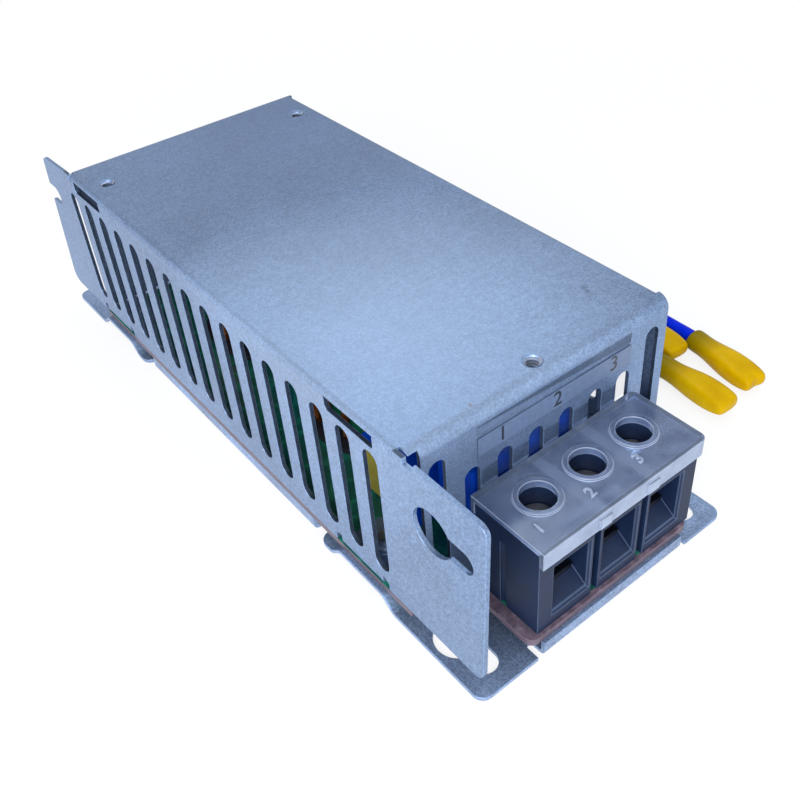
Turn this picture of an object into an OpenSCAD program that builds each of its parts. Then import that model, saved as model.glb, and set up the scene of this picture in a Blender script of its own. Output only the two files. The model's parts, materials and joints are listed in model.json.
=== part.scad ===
// Line filter for a single-phase supply: a perforated, folded steel cover over a
// circuit board with two ring chokes and film capacitors, on a pressed base plate,
// with a three-pole screw terminal at one end and three flying leads at the other.
//
// Sizes are in millimetres. The modules are drawn from the cover's own datum:
// X = 0 on the middle of the cover, Y = 0 on the outside of its near end face,
// Z = 0 on top of the circuit board. seated() then stands the whole filter on its
// base, with the origin under the middle of its outline.

/* [Cover] */
// Width over the two side walls
cover_w = 67.5; // [66:0.5:72]
// Length over the two end faces
cover_l = 140; // [139:0.5:148]
// Height of the top above the circuit board
cover_h = 42.4; // [41.4:0.2:48]
// Thickness of the galvanised sheet
sheet_t = 1.0; // [0.8:0.1:1.2]
// Outer radius of the two long folds
side_fold_r = 1.5; // [1.4:0.1:2]
// Outer radius of the folds above the end faces
end_fold_r = 2.8; // [2.2:0.1:3.4]
// Gap between an end face and what stands beside or under it
end_gap = 0.4; // [0.2:0.1:0.8]
// Distance from a side wall to the start of the open corner
corner_start = 1.7; // [1.6:0.1:2.2]
// Distance from a side wall to the edge of the end face
corner_end = 3.8; // [3:0.1:4.5]

/* [Side slots] */
// Width of a ventilation slot in a side wall
side_slot_w = 4.4; // [3:0.1:5]
// Distance between the slots of a side wall
side_slot_pitch = 8.5; // [8:0.1:9]
// Distance of the first slot's middle from the near face
side_slot_y = 10; // [8:0.5:12]
// Least distance of the last left slot's middle from the far face
left_slot_end = 2.3; // [2:0.1:8]
// Least distance of the last right slot's middle from the far face
right_slot_end = 6; // [5:0.5:12]
// Height at which the slots begin
slot_low = 5; // [4.8:0.1:7]
// Height at which the tall slots end
slot_high = 37; // [33:0.5:37.2]
// Length of the two windows under each long fold
window_l = 14.6; // [10:0.2:16]
// Distance of the near windows from the near face
near_window_y = 8.6; // [6:0.2:10]
// Distance of the far windows from the far face
far_window_y = 5.4; // [4.4:0.2:9]
// Height at which a window begins
window_low = 38.4; // [38:0.2:39.4]
// Radius of the lower corners of a window
window_r = 0.8; // [0.4:0.1:1.2]

/* [End slots] */
// Width of a slot in an end face
end_slot_w = 3.8; // [3:0.1:4.6]
// Distance between the slots of an end face
end_slot_pitch = 8; // [7.5:0.1:8]
// Number of slots in an end face
end_slot_count = 8; // [6:1:8]
// Sideways place of the row of slots
end_slot_x = 1.5; // [0.5:0.1:2]
// Height at which the short slots of the near face end
short_slot_high = 30; // [27:0.5:32]
// Height at which the short slots above the leads begin
lead_slot_low = 27.5; // [26.5:0.5:31]

/* [Ears] */
// Reach of the near ear beyond the near face, at its top
near_ear = 20.9; // [20.5:0.1:23]
// How much shorter the near ear is at its foot
near_ear_slant = 1.5; // [0:0.1:3]
// Reach of the far ear beyond the far face, at its foot
far_ear = 20; // [18:0.1:22]
// How much shorter the far ear is at its top
far_ear_slant = 5.6; // [2:0.1:6]
// How far the top edge of the far ear falls towards its tip
far_ear_drop = 0.8; // [0:0.1:2]
// Radius of the lower corners of the ears
ear_low_r = 3; // [1:0.5:5]
// Radius of the upper corners of the ears
ear_high_r = 2; // [1:0.5:3]
// Length of the step at the root of the near ear
ear_step_l = 2.5; // [1:0.5:3]
// Depth of that step
ear_step_h = 1.2; // [0.6:0.1:2]
// Radius of the keyhole in the near ear
ear_key_r = 5.1; // [4.5:0.1:5.2]
// Width of the ear slots, which take a 4.8 mm screw
ear_slot_w = 5; // [4.4:0.1:5.4]
// Height of the near ear's slot
ear_slot_z = 29.8; // [25:0.1:32]
// Height of the far ear's notch
far_notch_z = 30.8; // [25:0.1:32]
// Distance of the keyhole from the near face
ear_key_y = 6.8; // [6:0.1:8]
// Distance from the keyhole's middle to the end of its slot
ear_key_l = 8.2; // [7:0.1:9]
// Depth of the open notch in the far ear
far_notch_l = 9.5; // [6:0.1:10]

/* [Cover holes] */
// Distance of the two far tapped holes from the side walls
top_hole_side = 5.75; // [5:0.25:9]
// Distance of those holes from the far face
top_hole_end = 14; // [10:0.5:18]
// Distance of the tapped hole in the middle from the near face
near_hole_y = 4.0; // [3.8:0.1:8]
// Radius of the tapped holes, M4
top_hole_r = 1.65; // [1.6:0.05:2]
// Depth of the pressed collar under each tapped hole
collar_h = 2.0; // [1:0.1:3]
// Wall of that collar
collar_t = 1.1; // [0.8:0.1:1.4]
// Reach of the inward tabs that carry the cover's screws
tab_reach = 10; // [9.5:0.1:11]
// Width of those tabs
tab_w = 16; // [12:0.5:17]

/* [Base plate] */
// Width of the base plate
base_w = 69.5; // [68.5:0.5:74]
// Reach of the near feet beyond the near face
near_foot = 19.8; // [19.4:0.1:20.4]
// Reach of the far feet beyond the far face
far_foot = 19.5; // [19:0.1:22]
// Height of the raised platforms above the floor of the plate
platform_h = 3.0; // [2.7:0.1:4]
// Length of a platform
platform_l = 13; // [10:0.5:15]
// Width of a platform, from the cover's side wall
platform_w = 11; // [10:0.5:11.5]
// Run of the slopes at the ends of a platform
slope_run = 5; // [3:0.5:6]
// Run of the slope at the inner side of a platform
inner_run = 3; // [2:0.5:3]
// Distance of the middle of the near platforms from the near face
near_platform_y = 17.5; // [16.5:0.5:18]
// Distance of the middle of the far platforms from the far face
far_platform_y = 9.5; // [8.5:0.5:10]
// Outer radius of the folds of the base plate
base_fold_r = 1.5; // [1.3:0.1:2]
// Length of the folded side walls of the base plate
base_wall_l = 76; // [60:1:78]
// Left end of the front lip, from the middle line
lip_left = 18.8; // [16:0.1:19.5]
// Right end of the front lip, from the middle line
lip_right = 20.8; // [16:0.1:21]

/* [Feet] */
// Distance of the keyholes and notches from the side of the plate
foot_hole_side = 6.25; // [6:0.05:7]
// Radius of the round part of the keyholes
key_r = 5.0; // [4:0.1:5.2]
// Width of the keyhole slots and the far notches
foot_slot_w = 5.5; // [4.5:0.1:6]
// Distance of the keyholes' middle from the near face
key_y = 6.0; // [5.8:0.1:7]
// Distance from the keyholes' middle to the end of the slot
key_l = 7.5; // [7:0.1:9]
// Distance from the bottom of the far notches to the edge of the plate
foot_notch_l = 10.75; // [8:0.25:11]
// Radius of the corners of the feet
foot_r = 2.5; // [1.5:0.1:3]

/* [Circuit board] */
// Thickness of the circuit board
board_t = 1.6; // [1.5:0.1:2]
// Distance from an end face to the end of the board's body
board_end = 1.5; // [1.3:0.1:2]
// Reach of the board's tongue under the terminal
tongue = 19.0; // [18.8:0.1:19.2]
// Width of the tongue
tongue_w = 45.2; // [44.6:0.1:46]
// Sideways place of the tongue
tongue_x = 1.0; // [0.8:0.1:1.2]
// Radius of the tongue's corners
tongue_r = 2.0; // [1:0.1:3]

/* [Board screws] */
// Thread diameter of the screws through the base plate
screw_d = 3.0; // [2.5:0.1:3]
// Length of those screws under the head
screw_l = 6.5; // [5.5:0.5:8]
// Diameter of their heads
screw_head_d = 5.6; // [5:0.1:6]
// Height of their heads
screw_head_h = 2.0; // [1.6:0.1:2.1]
// Distance of the screws from the cover's side wall
screw_inset = 6.0; // [5.6:0.1:6.4]

/* [Terminal] */
// Distance between the terminal's poles
pole_pitch = 13; // [12.5:0.1:13.2]
// Number of poles
pole_count = 3; // [3:1:3]
// Sideways place of the terminal
terminal_x = 2.45; // [1.5:0.05:3]
// Body left outside the middle of the outermost poles
terminal_end = 8.7; // [8.2:0.1:9]
// Depth of the terminal body
terminal_d = 17; // [16:0.1:17]
// Distance between the near face and the terminal body
terminal_y = 1.2; // [1.15:0.05:1.6]
// Height of the terminal body
terminal_h = 22.6; // [21.6:0.1:24]
// Width of a wire entry
entry_w = 9; // [8:0.1:9.4]
// Height at which a wire entry begins
entry_low = 3; // [2.6:0.1:3.6]
// Height of a wire entry
entry_h = 13; // [12:0.1:13.4]
// Bevel round a wire entry
entry_bevel = 0.5; // [0.2:0.1:0.7]
// Height that the floor of a wire entry climbs
sill_h = 3; // [2:0.1:3.2]
// Depth over which it climbs
sill_run = 4.4; // [3:0.1:5]
// Width of the slits between two poles
slit_w = 1.8; // [1:0.1:2.2]
// Depth of the slits between two poles
slit_d = 12; // [8:0.5:13]
// Body left above a slit
slit_roof = 2.6; // [1:0.1:4]
// Radius of the grooves down the two ends
groove_r = 0.8; // [0.4:0.1:1.2]
// Diameter of the wells above the terminal screws
well_d = 7.6; // [7.2:0.1:8]
// Distance of the wells from the body's front
well_y = 9.4; // [8.6:0.1:9.8]

/* [Terminal metal] */
// Width of the brass frame in each pole
frame_w = 8.0; // [7:0.1:8]
// Thickness of the brass frame
frame_t = 1.2; // [1:0.1:1.5]
// Height of the brass frame
frame_h = 9.2; // [8.8:0.1:9.4]
// Diameter of a frame's board pins
frame_pin_d = 1.3; // [1:0.1:1.4]
// Thread diameter of the terminal screws
clamp_screw_d = 4; // [3:0.1:4]
// Diameter of the terminal screws' heads
clamp_head_d = 7.0; // [6:0.1:7]
// Height of the terminal screws' heads
clamp_head_h = 2.4; // [2:0.1:3]
// Thickness of the square pressure plates
plate_t = 1.2; // [1:0.1:1.6]
// Height of the pressure plates above the frame's floor
plate_z = 5.2; // [4.4:0.1:5.3]

/* [Terminal cover] */
// Thickness of the clear cover
clear_t = 1.2; // [0.9:0.1:1.2]
// Depth of its front and rear lips
lip_h = 4.2; // [3:0.1:6]
// Thickness of its end wall
clear_end_t = 0.6; // [0.5:0.1:1.2]
// Radius of its corners
clear_r = 1.6; // [1:0.1:2]
// Diameter of its screwdriver holes
driver_hole_d = 7.3; // [6.5:0.1:7.4]
// Outer diameter of the rims of those holes
rim_d = 9.6; // [8.6:0.1:10]
// Height of the rims above the cover
rim_h = 0.5; // [0.3:0.1:1]

/* [Label] */
// Left edge of the label, from the middle line
label_left = 17.3; // [14:0.1:20]
// Width of the label
label_w = 40.2; // [30:0.2:44]
// Height at which the clear film ends
film_high = 39.2; // [38:0.1:39.4]
// Height at which the clear film begins
film_low = 24.4; // [24.2:0.1:28]
// Thickness of the clear film
film_t = 0.2; // [0.1:0.05:0.3]
// Height of the white strip
strip_h = 4.2; // [3:0.1:5]
// Height at which the white strip begins
strip_low = 32.2; // [31:0.1:33]
// Thickness of the white strip
strip_t = 0.1; // [0.1:0.05:0.2]

/* [Capacitors] */
// Length, depth and height of the capacitor behind the near face
input_cap = [31.5, 11, 24]; // [8:0.5:34]
// Length, depth and height of the capacitor between the chokes
middle_cap = [26.5, 8, 18]; // [7:0.5:28]
// Length, depth and height of the capacitor at the left side
side_cap = [18, 8, 15]; // [6:0.5:18]
// Diameter of the ceramic disc capacitors
disc_d = 9; // [7:0.5:10]
// Thickness of the ceramic disc capacitors
disc_t = 4; // [3:0.5:5]
// Distance between the leads of the disc capacitors
disc_pitch = 7.5; // [5:0.5:7.5]
// Distance between the leads of the discharge resistor
resistor_pitch = 12.5; // [11:0.5:15]
// Diameter of a component lead
pin_d = 0.8; // [0.6:0.1:1]
// Length of a component lead below the board
pin_out = 1.2; // [0.8:0.1:1.6]

/* [Chokes] */
// Outer diameter of a choke's ring core
core_d = 34; // [30:0.5:34]
// Inner diameter of the ring core
core_bore_d = 18; // [17.5:0.5:18.5]
// Height of the ring core
core_h = 16; // [12:0.5:20]
// Radius of the core's coated edges
core_edge_r = 1.5; // [1:0.1:2]
// Diameter of the enamelled winding wire
wire_d = 1.8; // [1.2:0.1:1.8]
// Number of turns on each half of the core
turns = 9; // [6:1:9]
// Part of the ring that a winding covers, in degrees
winding_span = 140; // [120:2:140]
// Diameter of the plastic carrier under the choke
carrier_d = 39; // [38:0.5:39]
// Thickness of the carrier
carrier_t = 1.5; // [1.2:0.1:2]
// Distance of the input choke's middle from the near face
input_choke_y = 54; // [53:0.5:54]
// Distance of the output choke's middle from the near face
output_choke_y = 102; // [101.5:0.5:102]

/* [Leads] */
// Outer diameter of a lead
lead_d = 3.8; // [3.2:0.1:3.8]
// Width of an end cap at its mouth
cap_mouth_w = 6.4; // [6:0.1:6.6]
// Width of an end cap behind its mouth
cap_neck_w = 6.1; // [5.6:0.1:6.4]
// Greatest width of an end cap
cap_w = 7.9; // [7:0.1:8]
// Thickness of an end cap
cap_t = 5.8; // [5.4:0.1:6.2]
// Thickness of its flattened tip
cap_tip_t = 2.8; // [2:0.1:4]
// Length of an end cap
cap_l = 22.5; // [20:0.5:22.5]
// Length of the crimped sleeve inside an end cap
sleeve_l = 8; // [6:0.5:9]
// Width of the bushing's opening in the far face
bushing_w = 21; // [20:0.1:22]
// Height of that opening
bushing_h = 7.6; // [7:0.1:8.2]
// Width of the bushing's flanges
flange_w = 1.6; // [1:0.1:2]

/* [Hidden] */

$fn = 48;

// What overshoots a cut, so that no cut ends on a face
over = 1;

// Levels of the base plate, below the top of the board
board_low = -board_t;
floor_top = board_low - platform_h;
floor_low = floor_top - sheet_t;

// The outline in plan, and where its middle lies
near_end = -max(near_ear, near_foot);
far_end = cover_l + max(far_foot, far_ear);
mid_y = (near_end + far_end) / 2;

wall_x = cover_w / 2;
platform_y = [near_platform_y, cover_l - far_platform_y];

// The screws through base plate, board and tabs, and the collars that hold them
screw_x = wall_x - screw_inset;
screw_clearance = 0.4;
screw_hole_d = screw_d + screw_clearance;
boss_wall = 1;
boss_d = screw_d + 2 * boss_wall;
boss_h = 2.4 * sheet_t;

// Bends and reliefs of the sheet metal
foot_hole_x = base_w / 2 - foot_hole_side;
lip_slit_l = 3.6;
tab_bend_r = 1.3;
tab_relief_w = 2;
tab_relief_high = 2.3;
relief_r = 1.5;
tap_bevel = 0.4;

// The folded side walls of the base plate lie a little towards the far end
base_wall_shift = 4;
wall_from = (cover_l - base_wall_l) / 2 + base_wall_shift;
wall_to = wall_from + base_wall_l;

// Middles of the tapped holes in the top sheet
top_hole_x = wall_x - top_hole_side;
top_holes = [
    [-top_hole_x, cover_l - top_hole_end],
    [top_hole_x, cover_l - top_hole_end],
    [0, near_hole_y]
];

// Terminal
pole_x = [for (i = [0:pole_count - 1]) terminal_x + (i - (pole_count - 1) / 2) * pole_pitch];
terminal_w = (pole_count - 1) * pole_pitch + 2 * terminal_end;
terminal_left = terminal_x - terminal_w / 2;
terminal_front = -terminal_y - terminal_d;
well_at = terminal_front + well_y;
entry_high = entry_low + entry_h;
frame_z = entry_low + sill_h;
frame_top = frame_z + frame_h;
groove_roof = 4;
frame_back = 6.4;
frame_front = 5.6;
pin_offset = 4;
pole_pin_y = [well_at - pin_offset, well_at + pin_offset];
head_gap = 0.8;
plate_gap = 0.4;
drive_w = 1;
drive_depth = 1.4;
clear_top = terminal_h + clear_t;
clear_fit = 0.2;
slit_tab = [3.2, 0.5, 0.6];

// Components on the board: the middle of each, and its leads
input_cap_at = [0, 9];
middle_cap_at = [0, (input_choke_y + output_choke_y) / 2];
side_cap_at = [-16.2, 26];
input_cap_pitch = 27.5;
middle_cap_pitch = 22.5;
side_cap_pitch = 15;
disc_at = [[12, 22], [12, 29], [23, 31], [23, 38]];
disc_foot = 1.6;
resistor_at = [-4, 21];
resistor_z = 2.2;
lead_bend_r = 1.2;
stand_off = 0.4;
case_r = 0.8;
hole_clearance = 0.3;

// Chokes
core_mid_r = (core_d + core_bore_d) / 4;
core_wall = (core_d - core_bore_d) / 2;
wire_gap = 0.15;
wire_off = wire_gap + wire_d / 2;
section_w = core_wall / 2 - core_edge_r;
section_h = core_h / 2 - core_edge_r;
bend_r = core_edge_r + wire_off;
core_z = carrier_t + wire_gap + wire_d + wire_gap + core_h / 2;
choke_lead_r = core_mid_r + core_wall / 2 + wire_off + 0.7;
divider_t = 1.2;
post_size = [2.8, 4];

// Leads: the bushing's place, and the routes in the seated frame.
// The routes' points are chosen by hand and stay as they are.
lead_x = [-1, 6, 13];
bushing_z = 16;
bushing_bore_d = lead_d + 0.8;
blue_route = [
    [-1, 54.2, 5.6], [-1, 54.2, 7], [-1, 55.4, 12.2], [-1, 58.7, 17.2], [-1, 63.6, 20.5],
    [-1, 69.4, 21.6], [-1, 78, 21.5], [-0.6, 87, 20], [1.5, 96, 16], [6.5, 104, 10.4],
    [14, 110.4, 5.6], [23.5, 114.4, 2.6], [34, 116, 1.9], [45, 115.5, 1.9], [55.5, 112, 1.9],
    [64.5, 105.8, 1.9], [71.5, 97.4, 1.9], [76, 87.4, 1.9], [78, 76.4, 1.9],
    [78.3, 63, 1.9], [78.2, 49, 1.9], [77.9, 35, 1.9], [77.8, 21, 1.9], [77.9, 7, 1.9],
    [78.2, -7, 1.9], [78.4, -20, 1.9], [78.1, -32, 1.9], [77.4, -40.8, 2.4],
    [76.3, -47.9, 3.2], [75.5, -53.5, 3.2]
];
earth_route = [
    [6, 54.2, 5.6], [6, 54.2, 7], [6, 55.4, 12.2], [6, 58.7, 17.2], [6, 63.6, 20.5],
    [6, 69.4, 21.6], [6, 77.5, 21.4], [6.6, 86, 19.4], [9.4, 94.4, 14.8], [15, 101.2, 9.2],
    [22.6, 105.8, 4.6], [31.6, 107.8, 2.1], [41, 107.2, 1.9], [50, 103.6, 1.9],
    [57.8, 97.6, 1.9], [64, 89.8, 1.9], [68.4, 80.4, 1.9], [70.8, 70, 1.9],
    [71.5, 57, 1.9], [71.4, 43, 1.9], [71.2, 29, 1.9], [71.2, 15, 1.9], [71.4, 1, 1.9],
    [71.5, -11, 1.9], [71.4, -20, 2.3], [70.9, -27.2, 3.2], [70.45, -32.8, 3.2]
];
brown_route = [
    [13, 54.2, 5.6], [13, 54.2, 7], [13, 55.4, 12.2], [13, 58.7, 17.2], [13, 63.6, 20.5],
    [13, 69.4, 21.6], [13, 77, 21.2], [14.2, 85, 18.6], [18, 92, 13.6], [24.2, 97, 8],
    [31.8, 99.4, 3.9], [40, 98.8, 1.9], [48, 95.2, 1.9], [54.8, 89.2, 1.9],
    [60, 81.4, 1.9], [63, 72, 1.9], [64, 60, 1.9], [64, 46, 1.9], [63.8, 32, 1.9],
    [63.6, 18, 1.9], [63.6, 4, 1.9], [63.6, -10, 1.9], [63.4, -23, 1.9],
    [63, -33, 1.9], [62.4, -41.4, 2.4], [61.9, -48.5, 3.2], [61.8, -54, 3.2]
];
cap_bore_d = lead_d + 0.2;
crimp_t = 0.6;

// End cap: how far along, how wide and how thick
cap_sections = [
    [0, cap_mouth_w, cap_t],
    [0.1, cap_mouth_w - 0.1, cap_t],
    [0.2, cap_neck_w, cap_t - 0.2],
    [0.32, cap_neck_w + 0.3, cap_t - 0.1],
    [0.5, cap_w - 0.3, cap_t],
    [0.66, cap_w, cap_t - 0.1],
    [0.82, cap_w - 0.1, cap_t - 0.8],
    [0.93, cap_w - 0.7, cap_tip_t + 1.2],
    [0.985, cap_w - 1.9, cap_tip_t + 0.4],
    [1, cap_w - 3, cap_tip_t - 0.6]
];

// Stands the cover's datum on the base, over the middle of the outline
module seated() {
    translate([0, -mid_y, -floor_low]) children();
}

// A profile drawn in X and Z, extruded along Y
module along_y(from, to) {
    translate([0, to, 0]) rotate([90, 0, 0]) linear_extrude(to - from) children();
}

// A profile drawn in Y and Z, extruded along X
module along_x(from, to) {
    translate([from, 0, 0]) rotate([90, 0, 90]) linear_extrude(to - from) children();
}

// A block from one corner to the other
module block(low, high) {
    translate(low) cube(high - low);
}

// A quarter of a bent strip, from the middle of its bend
module bend(r, t) {
    intersection() {
        difference() {
            circle(r);
            circle(r - t);
        }
        translate([-r, 0]) square(r);
    }
}

// An upright slot with round ends, its foot and its head given
module slot(w, low, high) {
    translate([-w / 2, low + w / 2]) square([w, high - low - w]);
    translate([0, low + w / 2]) circle(w / 2);
    translate([0, high - w / 2]) circle(w / 2);
}

// A keyhole with its slot running towards -X of the profile
module keyhole(r, w, l) {
    circle(r);
    translate([-l, -w / 2]) square([l, w]);
    translate([-l, 0]) circle(w / 2);
}

module rounded_square(size, r) {
    translate([0, r]) square([size[0], size[1] - 2 * r]);
    translate([r, 0]) square([size[0] - 2 * r, size[1]]);
    for (x = [r, size[0] - r], y = [r, size[1] - r]) translate([x, y]) circle(r);
}

// Points of an arc, for an outline
function arc(x, y, r, from, to, steps = 5) = [
    for (i = [0:steps])
        let(a = from + (to - from) * i / steps)
        [x + r * cos(a), y + r * sin(a)]
];

function unit(v) = v / norm(v);

// Direction of a route at one of its points
function heading(route, i) =
    unit(route[min(i + 1, len(route) - 1)] - route[max(i - 1, 0)]);

// A side vector for each point of a route, carried along without twist
function carried(route, i, side) = i == len(route) ? [] :
    let(t = heading(route, i), s = unit(side - (side * t) * t))
    concat([s], carried(route, i + 1, s));

// The faces between the rings of a closed skin, two triangles to each side
function ring_faces(rings, sides) = [
    for (i = [0:rings - 2], k = [0:sides - 1], half = [0, 1])
        let(a = i * sides + k, b = i * sides + (k + 1) % sides)
        half == 0 ? [a, a + sides, b] : [b, a + sides, b + sides]
];

// A round tube swept along a route as one closed solid
module tube(route, d, sides, first_side) {
    rings = len(route);
    s = carried(route, 0, first_side);
    polyhedron(
        points = [
            for (i = [0:rings - 1], k = [0:sides - 1])
                let(a = 360 * (k + 0.5) / sides, up = cross(heading(route, i), s[i]))
                route[i] + d / 2 * (cos(a) * s[i] + sin(a) * up)
        ],
        faces = concat(
            [[for (k = [0:sides - 1]) k]],
            [[for (k = [0:sides - 1]) rings * sides - 1 - k]],
            ring_faces(rings, sides)
        )
    );
}

// Section of the cover across its length: two walls and the top
module cover_section() {
    x = cover_w / 2 - side_fold_r;
    for (side = [0, 1]) mirror([side, 0]) {
        translate([-cover_w / 2, 0]) square([sheet_t, cover_h - side_fold_r]);
        translate([-x, cover_h - side_fold_r]) bend(side_fold_r, sheet_t);
    }
    translate([-x, cover_h - sheet_t]) square([2 * x, sheet_t]);
}

// Section of an end face and the fold above it
module end_section() {
    translate([0, end_gap]) square([sheet_t, cover_h - end_fold_r - end_gap]);
    translate([end_fold_r, cover_h - end_fold_r]) bend(end_fold_r, sheet_t);
}

// Section of an inward tab: a short wall, the bend and the flat tab
module tab_section() {
    translate([0, tab_bend_r]) square([sheet_t, tab_bend_r]);
    translate([tab_bend_r, tab_bend_r]) mirror([0, 1]) bend(tab_bend_r, sheet_t);
    translate([tab_bend_r, 0]) square([tab_reach - tab_bend_r, sheet_t]);
}

// The near ear: a step at its root, slanted tip, keyhole
module near_ear_outline() {
    difference() {
        polygon(concat(
            [[end_fold_r, 0], [end_fold_r, cover_h]],
            arc(-near_ear + ear_high_r, cover_h - ear_high_r, ear_high_r, 90, 180),
            arc(-near_ear + near_ear_slant + ear_low_r, ear_low_r, ear_low_r, 180, 270)
        ));
        translate([-ear_step_l, cover_h - ear_step_h]) square([ear_step_l, over + ear_step_h]);
        translate([-ear_key_y, ear_slot_z]) keyhole(ear_key_r, ear_slot_w, ear_key_l);
    }
}

// The far ear: slanted the other way, with an open notch
module far_ear_outline() {
    tip_x = far_ear - far_ear_slant - ear_high_r;
    tip_z = cover_h - far_ear_drop - ear_high_r;
    difference() {
        polygon(concat(
            [[0, cover_h], [-end_fold_r, cover_h], [-end_fold_r, 0]],
            arc(far_ear - ear_low_r, ear_low_r, ear_low_r, 270, 360),
            arc(tip_x, tip_z, ear_high_r, 0, 90)
        ));
        translate([far_notch_l + ear_slot_w / 2, far_notch_z]) {
            circle(ear_slot_w / 2);
            translate([0, -ear_slot_w / 2]) square([far_ear, ear_slot_w]);
        }
    }
}

// The pressed collar of a tapped hole in the top sheet
module top_collar() {
    translate([0, 0, cover_h - sheet_t - collar_h])
        cylinder(r = top_hole_r + collar_t, h = collar_h + sheet_t / 2);
}

module top_hole() {
    translate([0, 0, cover_h - sheet_t - collar_h - over])
        cylinder(r = top_hole_r, h = collar_h + sheet_t + 2 * over);
    translate([0, 0, cover_h - tap_bevel])
        cylinder(r1 = top_hole_r, r2 = top_hole_r + tap_bevel + over, h = tap_bevel + over);
}

// The sheet of the cover before its slots are punched
module cover_sheet() {
    along_y(end_fold_r, cover_l - end_fold_r) cover_section();
    // The left wall runs on past both end faces as two ears
    along_x(-wall_x, -wall_x + sheet_t) near_ear_outline();
    along_x(-wall_x, -wall_x + sheet_t) translate([cover_l, 0]) far_ear_outline();
    for (end = [0, 1]) translate([0, end * cover_l, 0]) mirror([0, end, 0]) {
        // End face with the fold above it
        difference() {
            along_x(-wall_x + corner_start, wall_x) end_section();
            if (end == 0) block([-wall_x + corner_start - over, -over, -over],
                [-wall_x + corner_end, sheet_t + over, cover_h - sheet_t]);
        }
        // Right wall, up to the back of the end face
        block([wall_x - sheet_t, sheet_t + end_gap, 0],
            [wall_x, end_fold_r, cover_h - end_fold_r - end_gap]);
    }
    for (at = top_holes) translate([at[0], at[1], 0]) top_collar();
}

// The slots of a side wall, as many as fit before the far end
module side_slots(end) {
    count = floor((cover_l - side_slot_y - end) / side_slot_pitch);
    along_x(-wall_x - over, -wall_x + 1.2 * sheet_t)
        for (i = [0:count])
            translate([side_slot_y + i * side_slot_pitch, 0]) slot(side_slot_w, slot_low, slot_high);
}

// A window that ends under the top sheet, its lower corners rounded
module window(y) {
    high = cover_h - sheet_t;
    along_x(-wall_x - over, -wall_x + side_fold_r) translate([y, window_low]) {
        translate([0, window_r]) square([window_l, high - window_low - window_r]);
        translate([window_r, 0]) square([window_l - 2 * window_r, window_r]);
        for (x = [window_r, window_l - window_r]) translate([x, window_r]) circle(window_r);
    }
}

// Slots of an end face from a first one on: the outer ones tall, the inner ones as given
module end_slots(first, inner_low, inner_high) {
    last = end_slot_count - 1;
    along_y(-over, sheet_t + over)
        for (i = [first:last]) {
            outer = i == 0 || i == last;
            translate([end_slot_x + (i - last / 2) * end_slot_pitch, 0])
                slot(end_slot_w, outer ? slot_low : inner_low, outer ? slot_high : inner_high);
        }
}

module cover() {
    color("lightsteelblue") seated() difference() {
        union() {
            difference() {
                cover_sheet();
                // Where the tabs are bent in, and a round relief beside each
                for (y = platform_y, side = [-1, 1]) {
                    block([side * wall_x - 2 * sheet_t, y - tab_w / 2, -over],
                        [side * wall_x + 2 * sheet_t, y + tab_w / 2, 2 * tab_bend_r]);
                    for (edge = [-1, 1])
                        along_x(side * wall_x - 2 * sheet_t, side * wall_x + 2 * sheet_t)
                            translate([y + edge * tab_w / 2, 0])
                                slot(tab_relief_w, -over - tab_relief_w, tab_relief_high);
                }
            }
            for (y = platform_y, side = [0, 1]) mirror([side, 0, 0]) {
                along_y(y - tab_w / 2 + over, y + tab_w / 2 - over)
                    translate([-wall_x, 0]) tab_section();
                translate([-screw_x, y, 0]) cylinder(d = boss_d, h = boss_h);
            }
        }
        side_slots(left_slot_end);
        mirror([1, 0, 0]) side_slots(right_slot_end);
        end_slots(0, slot_low, short_slot_high);
        // The far face has slots above the leads only, and one beside them
        translate([0, cover_l, 0]) mirror([0, 1, 0])
            end_slots(end_slot_count / 2, lead_slot_low, slot_high);
        for (side = [0, 1], y = [near_window_y, cover_l - far_window_y - window_l])
            mirror([side, 0, 0]) window(y);
        for (at = top_holes) translate([at[0], at[1], 0]) top_hole();
        for (x = [-screw_x, screw_x], y = platform_y)
            translate([x, y, -over]) cylinder(d = screw_d + 0.1, h = boss_h + 2 * over);
        // Opening for the bushing of the leads
        along_y(cover_l - sheet_t - over, cover_l + over)
            translate([lead_x[1], bushing_z]) bushing_outline(0);
    }
}

// A smooth slope between two levels, as points of an outline
function slope(from, to, low, high, steps = 6) = [
    for (i = [0:steps])
        [from + (to - from) * i / steps, low + (high - low) * (1 - cos(180 * i / steps)) / 2]
];

// The swell of a platform: a long section and a cross section cut to each other.
// The underside is the same swell, lower by the thickness of the sheet.
module swell(drop, foot) {
    half = platform_l / 2;
    inner = wall_x - platform_w;
    low = floor_top - drop;
    high = board_low - drop;
    intersection() {
        along_x(-base_w, base_w) polygon(concat(
            [[-half - slope_run, foot]],
            slope(-half - slope_run, -half, low, high),
            slope(half, half + slope_run, high, low),
            [[half + slope_run, foot]]
        ));
        along_y(-base_w, base_w) polygon(concat(
            [[-base_w, foot], [-base_w, high]],
            slope(-inner, -inner + inner_run, high, low),
            [[-inner + inner_run, foot]]
        ));
    }
}

module swells(drop, foot) {
    for (y = platform_y, side = [0, 1])
        translate([0, y, 0]) mirror([side, 0, 0]) swell(drop, foot);
}

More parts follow.
